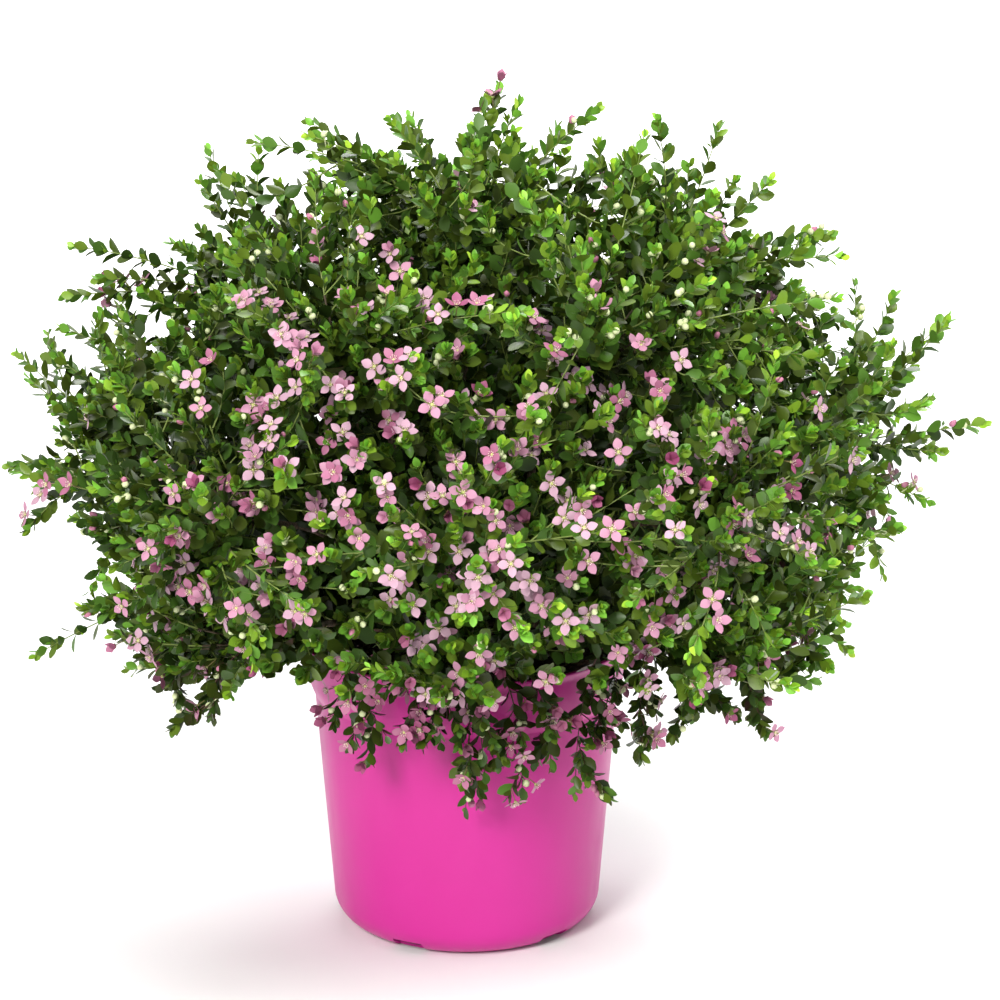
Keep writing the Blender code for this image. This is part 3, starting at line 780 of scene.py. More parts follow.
# %% [markdown]
# ## Small shapes, each modelled once
#
# A boronia leaf is a broad oval, widest past its middle, with a shallow fold along its midrib. The
# leaves deep in the crown have a wider and simpler outline, which closes the view through it. A
# flower has four broad pointed petals, a green-yellow heart with eight stamens, and four tiny
# sepals behind. Leaves and petals are blades lofted from an outline: rows of corners on the left
# edge, the midrib and the right edge. All lengths are shares of the leaf's or the petal's own.

# %% Blade and flower shapes
LEAF_OUTLINE = ((0.0, 0.0), (0.13, 0.13), (0.38, 0.29), (0.67, 0.31), (0.90, 0.16), (1.0, 0.0))
SMALL_LEAF_OUTLINE = ((0.0, 0.0), (0.50, 0.24), (1.0, 0.0))
INNER_LEAF_OUTLINE = ((0.0, 0.0), (0.28, 0.33), (0.72, 0.36), (1.0, 0.0))
PETAL_OUTLINE = (
    (0.06, 0.06), (0.24, 0.19), (0.43, 0.31), (0.61, 0.33), (0.80, 0.24), (0.94, 0.09), (1.0, 0.0),
)
SEPAL_OUTLINE = ((0.0, 0.05), (0.2, 0.11), (0.42, 0.0))
PETAL_FOLD, OTHER_PAIR_LEANS = 0.16, 4.0
SEPAL_LEAN, SEPAL_FOLD, SEPAL_CURL = math.radians(-70), 0.1, -0.2
STAMENS, STAMEN_FOOT, STAMEN_ENDS, STAMEN_OUT = 8, Vector((0.02, 0.0, 0.13)), (0.24, 0.30), 0.20
FILAMENT_RADII, SEPAL_STALK, BUD_STALK = (0.025, 0.015), (-0.56, 1.12, 0.035, 0.055), (-1.1, 1.4, 0.09, 0.12)
HEART_SIZE, ANTHER_SIZE, BUD_SIZE = (0.14, 0.15, 0.15), (0.045, 0.05, 0.05), (0.56, 0.5, 0.5)
DROP_FRONT, DROP_BACK, DROP_CORNERS = (0.95, 0.50), (0.45, 0.46), 0.12


def blade(work, outline, fold, curl, place=None):
    """A blade along +X, from rows of (along, half width). Its edges rise by fold, its tip by curl."""
    rows = []
    for along, half in outline:
        corners = [(along, 0.0, curl * along**2)]
        if half:
            raised = curl * along**2 + fold * half
            corners = [(along, -half, raised), *corners, (along, half, raised)]
        rows.append([work.verts.new(corner) for corner in corners])
    for near, far in zip(rows, rows[1:]):
        if len(near) == 1:
            faces = [(near[0], far[0], far[1]), (near[0], far[1], far[2])]
        elif len(far) == 1:
            faces = [(near[0], far[0], near[1]), (near[1], far[0], near[2])]
        else:
            faces = [(near[0], far[0], far[1], near[1]), (near[1], far[1], far[2], near[2])]
        for corners in faces:
            work.faces.new(corners)
    if place:
        bmesh.ops.transform(work, matrix=place, verts=[corner for row in rows for corner in row])


def ball(work, size, sides, rings, middle=(0.0, 0.0, 0.0)):
    place = Matrix.Translation(middle) @ Matrix.Diagonal((*size, 1.0))
    bmesh.ops.create_uvsphere(work, u_segments=sides, v_segments=rings, radius=1.0, matrix=place)


def rod(work, place, long, low, high, caps=False):
    """A three-sided rod along the Z axis of place, with the radii low and high."""
    bmesh.ops.create_cone(
        work, cap_ends=caps, segments=3, radius1=low, radius2=high, depth=long, matrix=place
    )


def stalk(work, middle, long, low, high, caps=False):
    """A rod along X, behind a flower or bud that faces +X."""
    place = Matrix.Translation((middle, 0.0, 0.0)) @ Matrix.Rotation(math.pi / 2, 4, "Y")
    rod(work, place, long, low, high, caps)


def petals(work, rise, curl):
    """Four petals round +X, leaning forwards by rise degrees from flat."""
    for index in range(4):
        lean = Matrix.Rotation(math.radians(rise - 90.0 + (index % 2) * OTHER_PAIR_LEANS), 4, "Y")
        blade(work, PETAL_OUTLINE, PETAL_FOLD, curl, Matrix.Rotation(math.pi / 2 * index, 4, "X") @ lean)


def flower_heart(work):
    """The ovary and its disc."""
    ball(work, HEART_SIZE, 6, 3)


def stamens(work):
    """Short filaments in a ring, each with its anther."""
    for index in range(STAMENS):
        turn = Matrix.Rotation(math.tau * (index + 0.5) / STAMENS, 4, "X")
        foot, end = turn @ STAMEN_FOOT, turn @ Vector((STAMEN_ENDS[index % 2], 0.0, STAMEN_OUT))
        aim = (end - foot).to_track_quat("Z", "X").to_matrix().to_4x4()
        rod(work, Matrix.Translation((foot + end) / 2) @ aim, (end - foot).length, *FILAMENT_RADII)
        ball(work, ANTHER_SIZE, 3, 2, end)


def sepals(work):
    """Four small pointed sepals behind the petals, and the flower's stalk."""
    for index in range(4):
        turn = Matrix.Rotation(math.pi / 4 + math.pi / 2 * index, 4, "X")
        blade(work, SEPAL_OUTLINE, SEPAL_FOLD, SEPAL_CURL, turn @ Matrix.Rotation(SEPAL_LEAN, 4, "Y"))
    stalk(work, *SEPAL_STALK)


def bud(work):
    """A closed round bud on its stalk, a little longer than wide."""
    ball(work, BUD_SIZE, 7, 4)
    stalk(work, *BUD_STALK, caps=True)


def pink_bud(work):
    """Four petals still folded over each other: a pointed four-sided drop."""
    ball(work, (1.0, 1.0, 1.0), 8, 6)
    for corner in work.verts:
        x, y, z = corner.co
        long, wide = DROP_FRONT if x > 0 else DROP_BACK
        narrow = (1 - DROP_CORNERS * math.cos(4 * math.atan2(z, y))) * wide
        corner.co = (long * x, y * narrow, z * narrow)


def shape(name, build, *values):
    made = hidden("shape_" + name, mesh_from(build, *values))
    made.data.shade_smooth()
    return made


SHAPES = {
    name: shape(name, build, *values)
    for name, build, *values in (
        ("leaf", blade, LEAF_OUTLINE, 0.22, -0.10),
        ("small_leaf", blade, SMALL_LEAF_OUTLINE, 0.30, 0.05),
        ("inner_leaf", blade, INNER_LEAF_OUTLINE, 0.22, -0.10),
        ("open", petals, 14.0, 0.10),
        ("cupped", petals, 40.0, 0.16),
        ("closed", petals, 66.0, 0.10),
        ("heart", flower_heart),
        ("stamens", stamens),
        ("sepals", sepals),
        ("bud", bud),
        ("pink_bud", pink_bud),
    )
}
print("shapes", ", ".join(f"{name} {len(made.data.polygons)}" for name, made in SHAPES.items()))

# %% [markdown]
# ## Growing twigs and leaves
#
# Boronia leaves stand in opposite pairs, each pair a quarter turn from the last. Low on a shoot
# they are large, far apart and spread wide; at its tip they are small, crowded and upright, and
# fresh yellow-green. So size, spacing, angle and shade all follow one thing, how far the pair is
# from the tip, and short and long shoots end in the same way. Some axils hold a tuft of small new
# leaves. Shade also follows the shoot. Leaves near the crown's edge are painted lighter, as painted
# light, and leaves on the left are painted darker, as painted shade from light that falls from the
# right. One seeded source deals all that is left to chance.

# %% Sizes of the growth
chance = random.Random(11)
LEAF_LENGTH = 0.0124
GAP_FROM_TIP = ((0.0, 0.0026), (0.010, 0.0047), (0.030, 0.0080), (0.090, 0.0096), (0.3, 0.0110))
SIZE_FROM_TIP = ((0.0, 0.48), (0.005, 0.68), (0.012, 0.90), (0.030, 1.02), (0.120, 1.0), (0.3, 0.86))
ANGLE_FROM_TIP = ((0.0, 14.0), (0.008, 26.0), (0.025, 38.0), (0.060, 47.0), (0.3, 54.0))
FRESH_FROM_TIP = ((0.0, 1.0), (0.006, 0.84), (0.014, 0.44), (0.032, 0.14), (0.070, 0.0), (0.3, 0.0))
LEAF_WIDTHS, LEAF_FOLDS, LEAF_LENGTHS = (0.90, 1.12), (0.2, 1.8), (0.84, 1.10)
PAIR_TURN, PAIR_LEAN, ROLL, OFF_TWIG = 0.25, 10.0, 0.5, 0.0004
SHOOT_WIDTHS, GAP_SPREAD = (0.90, 1.10), (0.88, 1.12)
SIDE_TUFTS, LEADER_TUFTS = 0.16, 0.34
TUFT_FROM_TIP, TUFT_GAP, TUFT_WIDE, TUFT_FRESH = 0.012, 0.0014, 1.15, 0.74
TUFT_LENGTHS, TUFT_LEANS, TUFT_SHRINKS = (0.0045, 0.0078), (24.0, 44.0), 0.2
TUFT_ALONG, TUFT_ASIDE = 0.8, 0.6
SHADES = 6
# Leaf shade also holds painted light near the crown's edge and painted shade on the crown's left side.
SHADE_BASE, SHADE_FRESH, OUTER_PAINTED_LIGHT, SHADE_SPREAD = 0.08, 0.48, 0.42, 0.17
OUTER_FROM, LEFT_PAINTED_SHADE = 0.55, 0.45
POT_CLEAR = 0.0015
LOWEST_SHOOT, FRONT_LIFT = 113.0, 18.0
leaves, tufts, inner_leaves = ([[] for _ in range(SHADES)] for _ in range(3))
old_twigs, young_twigs, red_twigs = [], [], []


def facing(forward, upper):
    """The turn that puts +X along forward and +Z as near to upper as it can."""
    side = upper.cross(forward).normalized()
    normal = forward.cross(side).normalized()
    return Matrix((forward, side, normal)).transposed()


def across(along, turn):
    """A direction square to along, turned about it."""
    level = along.cross(UP) if abs(along.z) < 0.97 else along.cross(Vector((1.0, 0.0, 0.0)))
    return Matrix.Rotation(turn, 3, along) @ level.normalized()


def across_at_random(along):
    return across(along, chance.uniform(0.0, math.tau))


def in_pot(point):
    level = math.hypot(point.x, point.y)
    return point.z < POT_HEIGHT + POT_CLEAR and level < LIP_RADIUS + POT_CLEAR


def hangs_too_low(way):
    """Whether a direction from the heart points under the crown, which is higher over the pot's front."""
    front = max(-way.y, 0.0) / level_of(way)
    return math.degrees(way.angle(UP)) > LOWEST_SHOOT - FRONT_LIFT * front


def depth_of(point):
    """0 at the heart, 1 at the crown's edge."""
    offset = point - HEART
    return offset.length / crown_reach(offset.normalized())


def shade_of(light, fresh, point):
    """The number of the shade, from 0, the darkest."""
    # Leaves near the crown's edge are painted lighter: painted light.
    outer = max(depth_of(point) - OUTER_FROM, 0.0)
    value = SHADE_BASE + light + SHADE_FRESH * fresh + OUTER_PAINTED_LIGHT * outer
    value += chance.uniform(-SHADE_SPREAD, SHADE_SPREAD)
    # Leaves on the left are painted darker: painted shade, as if the light fell from the right.
    value += LEFT_PAINTED_SHADE * min(point.x, 0.0)
    return min(max(int(value * SHADES), 0), SHADES - 1)


def add_leaf(rows, place, forward, upper, long, light, fresh, wide):
    if in_pot(place) or in_pot(place + forward * long):
        return
    size = (long, long * wide * chance.uniform(*LEAF_WIDTHS), long * chance.uniform(*LEAF_FOLDS))
    rows[shade_of(light, fresh, place)].append((place, facing(forward, upper).to_euler(), size))


def add_pair(rows, place, along, turn, lean, long, light, fresh, wide):
    """Two opposite leaves, leaning away from the shoot."""
    for half in (0.0, math.pi):
        side = across(along, turn + half + chance.uniform(-PAIR_TURN, PAIR_TURN))
        angle = math.radians(lean + chance.uniform(-PAIR_LEAN, PAIR_LEAN))
        forward = along * math.cos(angle) + side * math.sin(angle)
        own = long * chance.uniform(*LEAF_LENGTHS)
        upper = along + across_at_random(along) * chance.uniform(0.0, ROLL)
        add_leaf(rows, place + side * OFF_TWIG, forward, upper, own, light, fresh, wide)


def add_tuft(place, along, light):
    """A bud that has begun to grow: two pairs of small new leaves in an axil."""
    long = chance.uniform(*TUFT_LENGTHS)
    for pair in (0, 1):
        lean = chance.uniform(*TUFT_LEANS)
        spot = place + along * TUFT_GAP * (pair + 1)
        own = long * (1 - TUFT_SHRINKS * pair)
        add_pair(tufts, spot, along, math.pi / 2 * pair, lean, own, light, TUFT_FRESH, TUFT_WIDE)


def clothe(path, bare, light, tuft_chance=SIDE_TUFTS, rows=leaves):
    """Leaf pairs along a shoot, from the share bare to its tip, and tufts in some axils."""
    length = path_length(path)
    run, number = length * bare, 0
    quarter, wide = chance.uniform(0.0, math.pi / 2), chance.uniform(*SHOOT_WIDTHS)
    while run < length:
        left = length - run
        place, along = point_along(path, run / length)
        turn = quarter + math.pi / 2 * (number % 2)
        lean, long = stepped(ANGLE_FROM_TIP, left), LEAF_LENGTH * stepped(SIZE_FROM_TIP, left)
        add_pair(rows, place, along, turn, lean, long, light, stepped(FRESH_FROM_TIP, left), wide)
        for half in (0.0, math.pi):
            if left > TUFT_FROM_TIP and chance.random() < tuft_chance:
                way = along * TUFT_ALONG + across(along, turn + half) * TUFT_ASIDE
                add_tuft(place, way.normalized(), light)
        run += stepped(GAP_FROM_TIP, left) * chance.uniform(*GAP_SPREAD)
        number += 1


# %% [markdown]
# ## Leaders
#
# Leaders are the long shoots that reach the crown's edge and stand out from it like spikes. The
# solids have one for each direction; here each gets two companions that end a little short of it,
# so that every spike stands in a loose spray. A few more spikes stand where the photograph shows
# them between those of the solids, given by how far right and how high their tips are.

# %% Grow every leader
LEADER_FINE, LEADER_RADII = 12, (0.00105, 0.00036)
LEADER_KEEPS, LEADER_EASE = 0.75, 0.45
COMPANIONS, COMPANION_OFF, COMPANION_REACH = 2, (0.10, 0.26), (0.80, 0.96)
EVENNESS = (0.90, 1.0)
TIP_ROOM = 0.006
LEADER_BARE, LEADER_LIGHT = 0.30, (-0.06, 0.12)
MORE_TIPS = (
    (0.083, 0.534), (0.119, 0.528), (0.031, 0.520), (-0.046, 0.526), (-0.095, 0.504), (-0.072, 0.512),
    (0.169, 0.490), (0.140, 0.500), (0.237, 0.441), (0.270, 0.415), (-0.245, 0.210), (-0.222, 0.195),
)
MORE_TIPS_FRONT = -0.012


def leader_path(mass, way, reach, share):
    start, along = point_along(mass["stem"], between(*LEADERS_LEAVE_AT, share))
    end = HEART + way * (reach - TIP_ROOM)
    heading = along * LEADER_KEEPS + way * (1 - LEADER_KEEPS)
    return bend(start, start + heading * (end - start).length * LEADER_EASE, end, LEADER_FINE)


leaders_of = [[] for _ in masses]
for way, reach in leader_directions():
    nearest = max(range(len(masses)), key=lambda index: way.dot(masses[index]["way"]))
    leaders_of[nearest].append((way, reach))

leader_paths = []
for mass, own in zip(masses, leaders_of):
    for index, (direction, reach) in enumerate(own):
        way = direction if reach else between(mass["way"], direction, LEADER_SPREAD).normalized()
        far = reach or crown_reach(way) * chance.uniform(*EVENNESS)
        if hangs_too_low(way):
            continue
        leader_paths.append(leader_path(mass, way, far, (index + 0.5) / len(own)))
        first = chance.uniform(0.0, math.tau)
        for number in range(COMPANIONS):
            aside = across(way, first + math.tau * number / COMPANIONS)
            near_way = (way + aside * chance.uniform(*COMPANION_OFF)).normalized()
            near = crown_reach(near_way) * chance.uniform(*COMPANION_REACH)
            if not hangs_too_low(near_way):
                leader_paths.append(leader_path(mass, near_way, near, chance.random()))
for x, z in MORE_TIPS:
    reach = Vector((x, MORE_TIPS_FRONT, z)) - HEART
    way = reach.normalized()
    mass = max(masses, key=lambda mass: way.dot(mass["way"]))
    leader_paths.append(leader_path(mass, way, reach.length, chance.random()))

split, radii = LEADER_FINE // 2, taper(LEADER_FINE, *LEADER_RADII)
for path in leader_paths:
    light = chance.uniform(*LEADER_LIGHT)
    old_twigs.append((path[: split + 1], radii[: split + 1]))
    young_twigs.append((path[split:], radii[split:]))
    clothe(path, LEADER_BARE, light, LEADER_TUFTS)
print("leaders", len(leader_paths), "leaves", sum(map(len, leaves)), "tuft leaves", sum(map(len, tufts)))

# %% [markdown]
# ## Side shoots
#
# Leaders alone would leave holes between them. So the side shoots are planned by their tips, which
# are spread evenly over the crown by the golden angle, at depths dealt by chance. Tips near a leader
# may reach further out, which gathers the crown's edge in sprays with dents between. Each tip is
# then traced back to the place on a leader, stem or bough that can best bear it: one at a fair
# distance, which heads a little past the tip, and where few others start. The same is done deeper
# down for the older shoots that close the view through the crown, whose leaves are darker, partly
# for their age and partly as painted shade deep in the crown.

# %% Side shoots
SURFACE_SHOOTS, SURFACE_REACH, SURFACE_LIGHT = 1100, (0.68, 0.83), 0.02
NEAR_LEADER, LEADER_EXTRA = math.radians(8.0), 0.12
# The inner shoots' leaves are darker: partly older, partly painted shade deep in the crown.
INNER_SHOOTS, INNER_REACH, INNER_AGE_AND_SHADE = 1150, (0.18, 0.72), -0.10
SURFACE_LENGTH, INNER_LENGTH = (0.045, 0.085), (0.035, 0.060)
SHOOT_ANGLE, SHOOT_LIFT, SHOOT_EASE = math.radians(38.0), 0.25, 0.45
SHOOT_FINE, SHOOT_RADII, SHOOT_BARE, SHOOT_LIGHTS = 6, (0.00062, 0.00032), 0.12, (-0.10, 0.12)
CROWDED, NEAREST, FARTHEST = 0.3, 0.5, 2.2
BOUGH_BARE = 6


class Joints:
    """The places on leaders, stems and boughs where a side shoot can start."""

    def __init__(self, paths):
        self.rows = []
        for path in paths:
            for before, place, after in zip(path, path[1:], path[2:]):
                self.rows.append((place, (after - before).normalized()))
        self.used = [0] * len(self.rows)
        self.tree = kdtree.KDTree(len(self.rows))
        for index, (place, _) in enumerate(self.rows):
            self.tree.insert(place, index)
        self.tree.balance()

    def best(self, tip, wanted):
        """The place of the joint that can best bear a shoot of about the wanted length to the tip."""

        def cost(found):
            place, index, distance = found
            off = self.rows[index][1].angle(tip - place)
            return abs(distance - wanted) / wanted + abs(off - SHOOT_ANGLE) + CROWDED * self.used[index]

        around = self.tree.find_range(tip, wanted * FARTHEST)
        near = [found for found in around if found[2] > wanted * NEAREST]
        if not near:
            return None
        _, index, _ = min(near, key=cost)
        self.used[index] += 1
        return self.rows[index][0]


def side_shoot(place, tip):
    """A curve that leaves its leader wide and turns towards the light."""
    ending = ((tip - HEART).normalized() + UP * SHOOT_LIFT).normalized()
    return bend(place, tip - ending * (tip - place).length * SHOOT_EASE, tip, SHOOT_FINE)


def grow_shoots(count, reach, extra, lengths, light, tuft_chance, rows):
    """Side shoots whose tips are spread evenly over the crown. Returns their paths."""
    made = []
    for way in even_directions(count, LOWEST_SHOOT):
        if hangs_too_low(way):
            continue
        close = max(1 - min(way.angle(other) for other in leader_ways) / NEAR_LEADER, 0.0)
        share = between(*reach, chance.random()) + extra * close * chance.random() ** 0.5
        tip = HEART + way * crown_reach(way) * share
        place = joints.best(tip, chance.uniform(*lengths))
        path = side_shoot(place, tip) if place else []
        if path and not any(in_pot(point) for point in path):
            made.append(path)
            young_twigs.append((path, taper(SHOOT_FINE, *SHOOT_RADII)))
            clothe(path, SHOOT_BARE, light + chance.uniform(*SHOOT_LIGHTS), tuft_chance, rows)
    return made


joints = Joints([*leader_paths, *(mass["bough"][BOUGH_BARE:] + mass["stem"] for mass in masses)])
leader_ways = [(path[-1] - HEART).normalized() for path in leader_paths]
surface_shoots = grow_shoots(
    SURFACE_SHOOTS, SURFACE_REACH, LEADER_EXTRA, SURFACE_LENGTH, SURFACE_LIGHT, SIDE_TUFTS, leaves
)
inner_shoots = grow_shoots(INNER_SHOOTS, INNER_REACH, 0.0, INNER_LENGTH, INNER_AGE_AND_SHADE, 0.0, inner_leaves)
print("side shoots", len(surface_shoots), "inner", len(inner_shoots))
print("leaves", sum(map(len, leaves)), "inner leaves", sum(map(len, inner_leaves)))

# %% [markdown]
# ## Trailing sprays
#
# Low shoots lean over the rim and hang down the pot's side, with thin reddish stems and flowers at
# their tips; their leaves are painted dark, as painted shade under the crown. Each is given by the
# bearing it starts from, the bearing of its tip, how far out it hangs and how low its tip is, and
# bears a few short side shoots.

# %% Trailing sprays
TRAILS = (
    (-84.0, -90.0, 0.118, 0.1035), (-62.0, -55.0, 0.118, 0.110), (-142.0, -112.0, 0.128, 0.156),
    (-40.0, -47.0, 0.122, 0.149), (-76.0, -73.0, 0.120, 0.114), (-138.0, -142.0, 0.195, 0.168),
    (-92.0, -84.0, 0.119, 0.128), (-68.0, -64.0, 0.120, 0.132), (-100.0, -97.0, 0.120, 0.150),
    (-48.0, -45.0, 0.149, 0.151), (-36.0, -35.0, 0.171, 0.160),
    (-30.0, -30.0, 0.203, 0.160), (-45.0, -41.0, 0.183, 0.174), (-112.0, -102.0, 0.124, 0.162),
    (-160.0, -160.0, 0.190, 0.160), (-8.0, -8.0, 0.190, 0.160), (30.0, 30.0, 0.160, 0.150),
    (60.0, 62.0, 0.125, 0.125), (100.0, 96.0, 0.130, 0.140), (124.0, 128.0, 0.128, 0.120),
    (157.0, 157.0, 0.160, 0.150),
)
TRAIL_CREST, TRAIL_OUT, TRAIL_STARTS, TRAIL_BARE = 0.222, 0.012, 0.3, 0.36
# Leaves on the trails are painted darker: painted shade under the crown.
TRAIL_PAINTED_SHADE, TRAIL_RADII = -0.34, (0.0008, 0.00034)
TRAIL_SHOOTS, TRAIL_SHOOT_LENGTH, TRAIL_SHOOT_BARE = 5, (0.018, 0.032), 0.2
TRAIL_SHOOTS_FROM, TRAIL_SHOOTS_SPAN = 0.50, 0.42
TRAIL_SHOOT_FINE, TRAIL_SHOOT_RADII = 5, (0.0005, 0.0003)
KEEPS_ON, TURNS_ASIDE, TURNS_OUT, BOWS, BOW_EASE = 0.55, 0.6, 0.35, 0.3, 0.5
trail_paths = []
skirts = [mass for mass in masses if mass["ring"] == "skirt"]
for root, azimuth, out, low in TRAILS:
    inward, outward = direction_of(90.0, root), direction_of(90.0, azimuth)
    mass = max(skirts, key=lambda mass: mass["way"].dot(inward))
    start, _ = point_along(mass["stem"], TRAIL_STARTS)
    end = Vector((0.0, 0.0, low + TIP_ROOM)) + outward * out
    control = Vector((0.0, 0.0, TRAIL_CREST)) + (inward + outward).normalized() * (out + TRAIL_OUT)
    path = bend(start, control, end, LEADER_FINE)
    trail_paths.append(path)
    red_twigs.append((path, taper(LEADER_FINE, *TRAIL_RADII)))
    clothe(path, TRAIL_BARE, TRAIL_PAINTED_SHADE)
    for number in range(TRAIL_SHOOTS):
        share = TRAIL_SHOOTS_FROM + TRAIL_SHOOTS_SPAN * (number + chance.random()) / TRAIL_SHOOTS
        place, along = point_along(path, share)
        side = across_at_random(along)
        way = (along * KEEPS_ON + side * TURNS_ASIDE + outward * TURNS_OUT).normalized()
        tip = place + way * chance.uniform(*TRAIL_SHOOT_LENGTH)
        control = place + (way + side * BOWS) * (tip - place).length * BOW_EASE
        shoot = bend(place, control, tip, TRAIL_SHOOT_FINE)
        if not any(in_pot(point) for point in shoot):
            red_twigs.append((shoot, taper(TRAIL_SHOOT_FINE, *TRAIL_SHOOT_RADII)))
            clothe(shoot, TRAIL_SHOOT_BARE, TRAIL_PAINTED_SHADE)
            trail_paths.append(shoot)
print("trailing sprays", len(trail_paths), "leaves", sum(map(len, leaves)))

# %% [markdown]
# ## Flowers and buds
#
# Flowers stand on thin stalks in the axils a little below the tips of the shoots, one or two to an
# axil, and turn outwards to the light. They form a thick band across the crown's front and back,
# and are few at its top and at its left and right edges. Most are wide open and pale, some half
# open and deeper. On the trails each is painted one pink deeper than it would be above, as painted
# shade under the crown. Round cream buds and some pointed pink ones stand nearer the tips.

# %% Deal the flowers
FLOWER_SIZE, FLOWER_SIZES = 0.0080, (0.88, 1.10)
FLOWER_OFF, BUD_OFF, STALK_OUT, STALK_ALONG = (0.0085, 0.0115), (0.0035, 0.0060), 0.8, 0.2
FLOWER_FROM_TIP, FLOWER_NODE_GAP, NODE_GAPS = (0.006, 0.026), 0.011, (0.8, 1.3)
FLOWERS_END, BUDS_END = 0.8, 0.9
FLOWERING, BUDDING, BUDS_ANYWHERE = 0.98, 0.78, 0.35
FLOWER_BY_HEIGHT = (
    (0, 0.08), (25, 0.20), (40, 0.52), (56, 0.90), (66, 1.0), (80, 0.95), (92, 0.56), (180, 0.50),
)
SIDE_FLOWERS, BACK_FLOWERS = 0.06, 0.75
FLOWER_NARROW, TRAIL_MORE = 2.2, 0.24
KINDS = ("open", "cupped", "closed")
KIND_CHANCES, TRAIL_KIND_CHANCES = (0.58, 0.25, 0.17), (0.30, 0.42, 0.28)
PINK_CHANCES = {
    "open": (0.58, 0.34, 0.08, 0.0), "cupped": (0.10, 0.45, 0.38, 0.07), "closed": (0.0, 0.20, 0.50, 0.30),
}
PINKS = 4
AXIL_CHANCES, TWIN_CHANCES, BUD_CHANCES = (0.40, 0.40, 0.20), (0.86, 0.14), (0.5, 0.35, 0.15)
FLOWER_SIDES, BUD_SIDE, BUD_FROM_TIP = (0.2, 0.9), 0.7, (0.006, 0.024)
CREAM_SHARE, CREAM_SIZES, PINK_SIZES = 0.78, (0.0036, 0.0047), (0.0032, 0.0044)
flowers = {(kind, pink): [] for kind in KINDS for pink in range(PINKS)}
hearts, backs, cream_buds, pink_buds = [], [], [], []


def outward_turn(way):
    """A turn that faces way, with a random spin about it."""
    return facing(way, across_at_random(way)).to_euler()


def add_flower(spot, way, on_shaded_trail):
    kind = chance.choices(KINDS, TRAIL_KIND_CHANCES if on_shaded_trail else KIND_CHANCES)[0]
    # A flower on a trail is painted one pink deeper: painted shade under the crown.
    pink = min(chance.choices(range(PINKS), PINK_CHANCES[kind])[0] + on_shaded_trail, PINKS - 1)
    size = (FLOWER_SIZE * chance.uniform(*FLOWER_SIZES),) * 3
    row = (spot, outward_turn(way), size)
    flowers[kind, pink].append(row)
    backs.append(row)
    if kind != "closed":
        hearts.append(row)


def axil_way(place, along, wide):
    """The way a stalk grows from an axil: out from the shoot, and to the light."""
    outward = (place - HEART).normalized()
    side = across_at_random(along)
    if side.dot(outward) < 0:
        side = -side
    return (outward * STALK_OUT + side * wide + along * STALK_ALONG).normalized()


def flower_shoot(path, on_shaded_trail):
    """One to three flowering axils below the tip of a shoot."""
    length = path_length(path)
    left = chance.uniform(*FLOWER_FROM_TIP)
    for _ in range(chance.choices((1, 2, 3), AXIL_CHANCES)[0]):
        if left > length * FLOWERS_END:
            return
        place, along = point_along(path, 1 - left / length)
        for _ in range(chance.choices((1, 2), TWIN_CHANCES)[0]):
            way = axil_way(place, along, chance.uniform(*FLOWER_SIDES))
            spot = place + way * chance.uniform(*FLOWER_OFF)
            if not in_pot(spot):
                add_flower(spot, way, on_shaded_trail)
        left += FLOWER_NODE_GAP * chance.uniform(*NODE_GAPS)


def bud_shoot(path):
    """A few buds in the axils near the tip of a shoot."""
    length = path_length(path)
    for _ in range(chance.choices((1, 2, 3), BUD_CHANCES)[0]):
        place, along = point_along(path, 1 - min(chance.uniform(*BUD_FROM_TIP) / length, BUDS_END))
        way = axil_way(place, along, BUD_SIDE)
        spot = place + way * chance.uniform(*BUD_OFF)
        if in_pot(spot):
            continue
        rows, sizes = (cream_buds, CREAM_SIZES) if chance.random() < CREAM_SHARE else (pink_buds, PINK_SIZES)
        rows.append((spot, outward_turn(way), (chance.uniform(*sizes),) * 3))


upper_paths = [*surface_shoots, *leader_paths]
for number, path in enumerate([*upper_paths, *trail_paths]):
    way = (path[-1] - HEART).normalized()
    on_shaded_trail = number >= len(upper_paths)
    turned = way.y / level_of(way)
    likely = stepped(FLOWER_BY_HEIGHT, math.degrees(way.angle(UP)))
    likely *= between(SIDE_FLOWERS, BACK_FLOWERS if turned > 0 else 1.0, abs(turned) ** FLOWER_NARROW)
    if chance.random() < likely * FLOWERING + TRAIL_MORE * on_shaded_trail:
        flower_shoot(path, on_shaded_trail)
    if chance.random() < BUDDING * (BUDS_ANYWHERE + (1 - BUDS_ANYWHERE) * likely):
        bud_shoot(path)
print("flowers", len(backs), "buds", len(cream_buds), len(pink_buds))
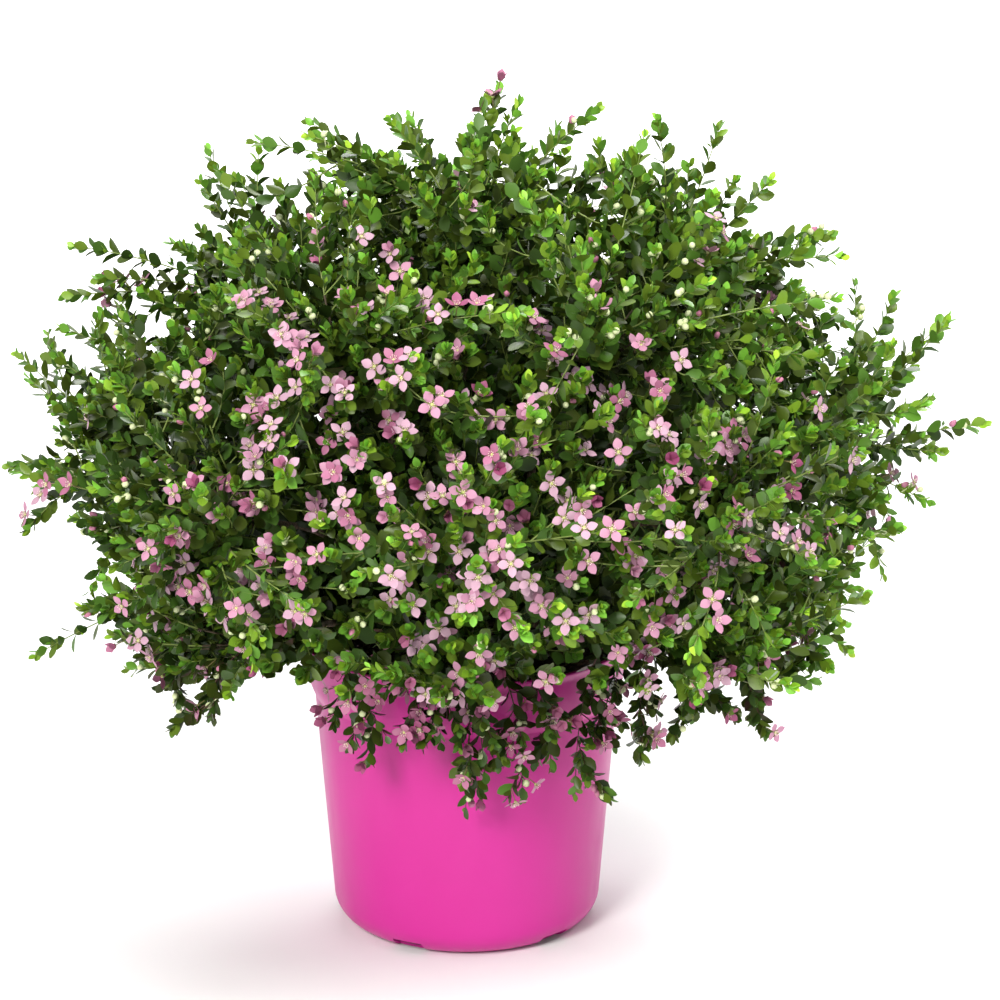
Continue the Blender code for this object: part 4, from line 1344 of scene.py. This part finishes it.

# %% [markdown]
# ## Finishes of the plant
#
# Leaves and petals are thousands of small blades, so a pattern would only blur on them. Their
# colour has a place instead: six greens, from the deepest, for old leaves and painted shade, to the
# yellow-green tips, whose leaves take a cooler and a warmer hue by turns, and four pinks, dealt out
# by flower.

# %% Plant finishes and pieces
TWIGS = (
    ("twigs_old", old_twigs, 5, 0.008, "bark", (), ("twig_brown", (0.085, 0.062, 0.036), 0.75)),
    ("twigs_young", young_twigs, 3, 0.010, "foliage", MASSES, ("twig_green", (0.210, 0.280, 0.065), 0.6)),
    ("twigs_trailing", red_twigs, 3, 0.006, "foliage", (), ("twig_red", (0.090, 0.035, 0.030), 0.6)),
)
GREENS = (
    (0.029, 0.050, 0.008), (0.051, 0.096, 0.013), (0.087, 0.166, 0.020),
    (0.135, 0.275, 0.028), (0.205, 0.425, 0.040), (0.385, 0.690, 0.080),
)
HUES = (("cool", 0.84, 1.0), ("warm", 1.16, 0.72))
LEAF_ROUGH, LEAF_GLOSS = 0.34, 0.28
LEAF_KINDS = (
    ("leaves", "leaf", leaves),
    ("inner_leaves", "inner_leaf", inner_leaves),
    ("new_leaves", "small_leaf", tufts),
)
PETAL_COLOURS = ((0.50, 0.30, 0.39), (0.45, 0.21, 0.31), (0.38, 0.128, 0.225), (0.30, 0.066, 0.155))
PETAL_ROUGH = 0.55
SMALL_PARTS = (
    ("flower_hearts", "heart", hearts, ("flower_heart", (0.52, 0.56, 0.20), 0.6)),
    ("stamens", "stamens", hearts, ("stamens", (0.84, 0.70, 0.62), 0.6)),
    ("sepals", "sepals", backs, ("sepals", (0.20, 0.16, 0.06), 0.6)),
    ("buds_cream", "bud", cream_buds, ("bud_cream", (0.62, 0.68, 0.38), 0.5)),
    ("buds_pink", "pink_bud", pink_buds, ("bud_pink", (0.48, 0.17, 0.27), 0.5)),
)

for name, lines, sides, step, slot, nodes, look in TWIGS:
    tubes(name, lines, sides, step, 0.0, Finish(*look), slot, nodes)
for index, (red, green, blue) in enumerate(GREENS):
    for turn, (hue, more_red, more_blue) in enumerate(HUES):
        label, colour = f"{hue}_{index + 1}", (red * more_red, green, blue * more_blue)
        finish = Finish("leaf_" + label, colour, LEAF_ROUGH, Specular_IOR_Level=LEAF_GLOSS)
        for kind, outline, rows in LEAF_KINDS:
            own = rows[index][turn :: len(HUES)]
            if own:
                deal(f"{kind}_{label}", SHAPES[outline], own, finish, "foliage")
for index, colour in enumerate(PETAL_COLOURS):
    pink = Finish(f"petal_pink_{index + 1}", colour, PETAL_ROUGH)
    for kind in KINDS:
        if flowers[kind, index]:
            deal(f"petals_{kind}_{index + 1}", SHAPES[kind], flowers[kind, index], pink, "foliage")
for name, outline, rows, look in SMALL_PARTS:
    deal(name, SHAPES[outline], rows, Finish(*look), "foliage")
remove(*SHAPES.values())

# %% [markdown]
# ## Measure and finish
#
# The dressed plant may stand a little proud of the solids, but no more, so both boxes are printed.

# %% Boxes
LOOKS_BOX = [list(corner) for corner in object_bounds()]
print("solids", [[round(value, 4) for value in corner] for corner in CAD_BOX])
print("looks", [[round(value, 4) for value in corner] for corner in LOOKS_BOX])
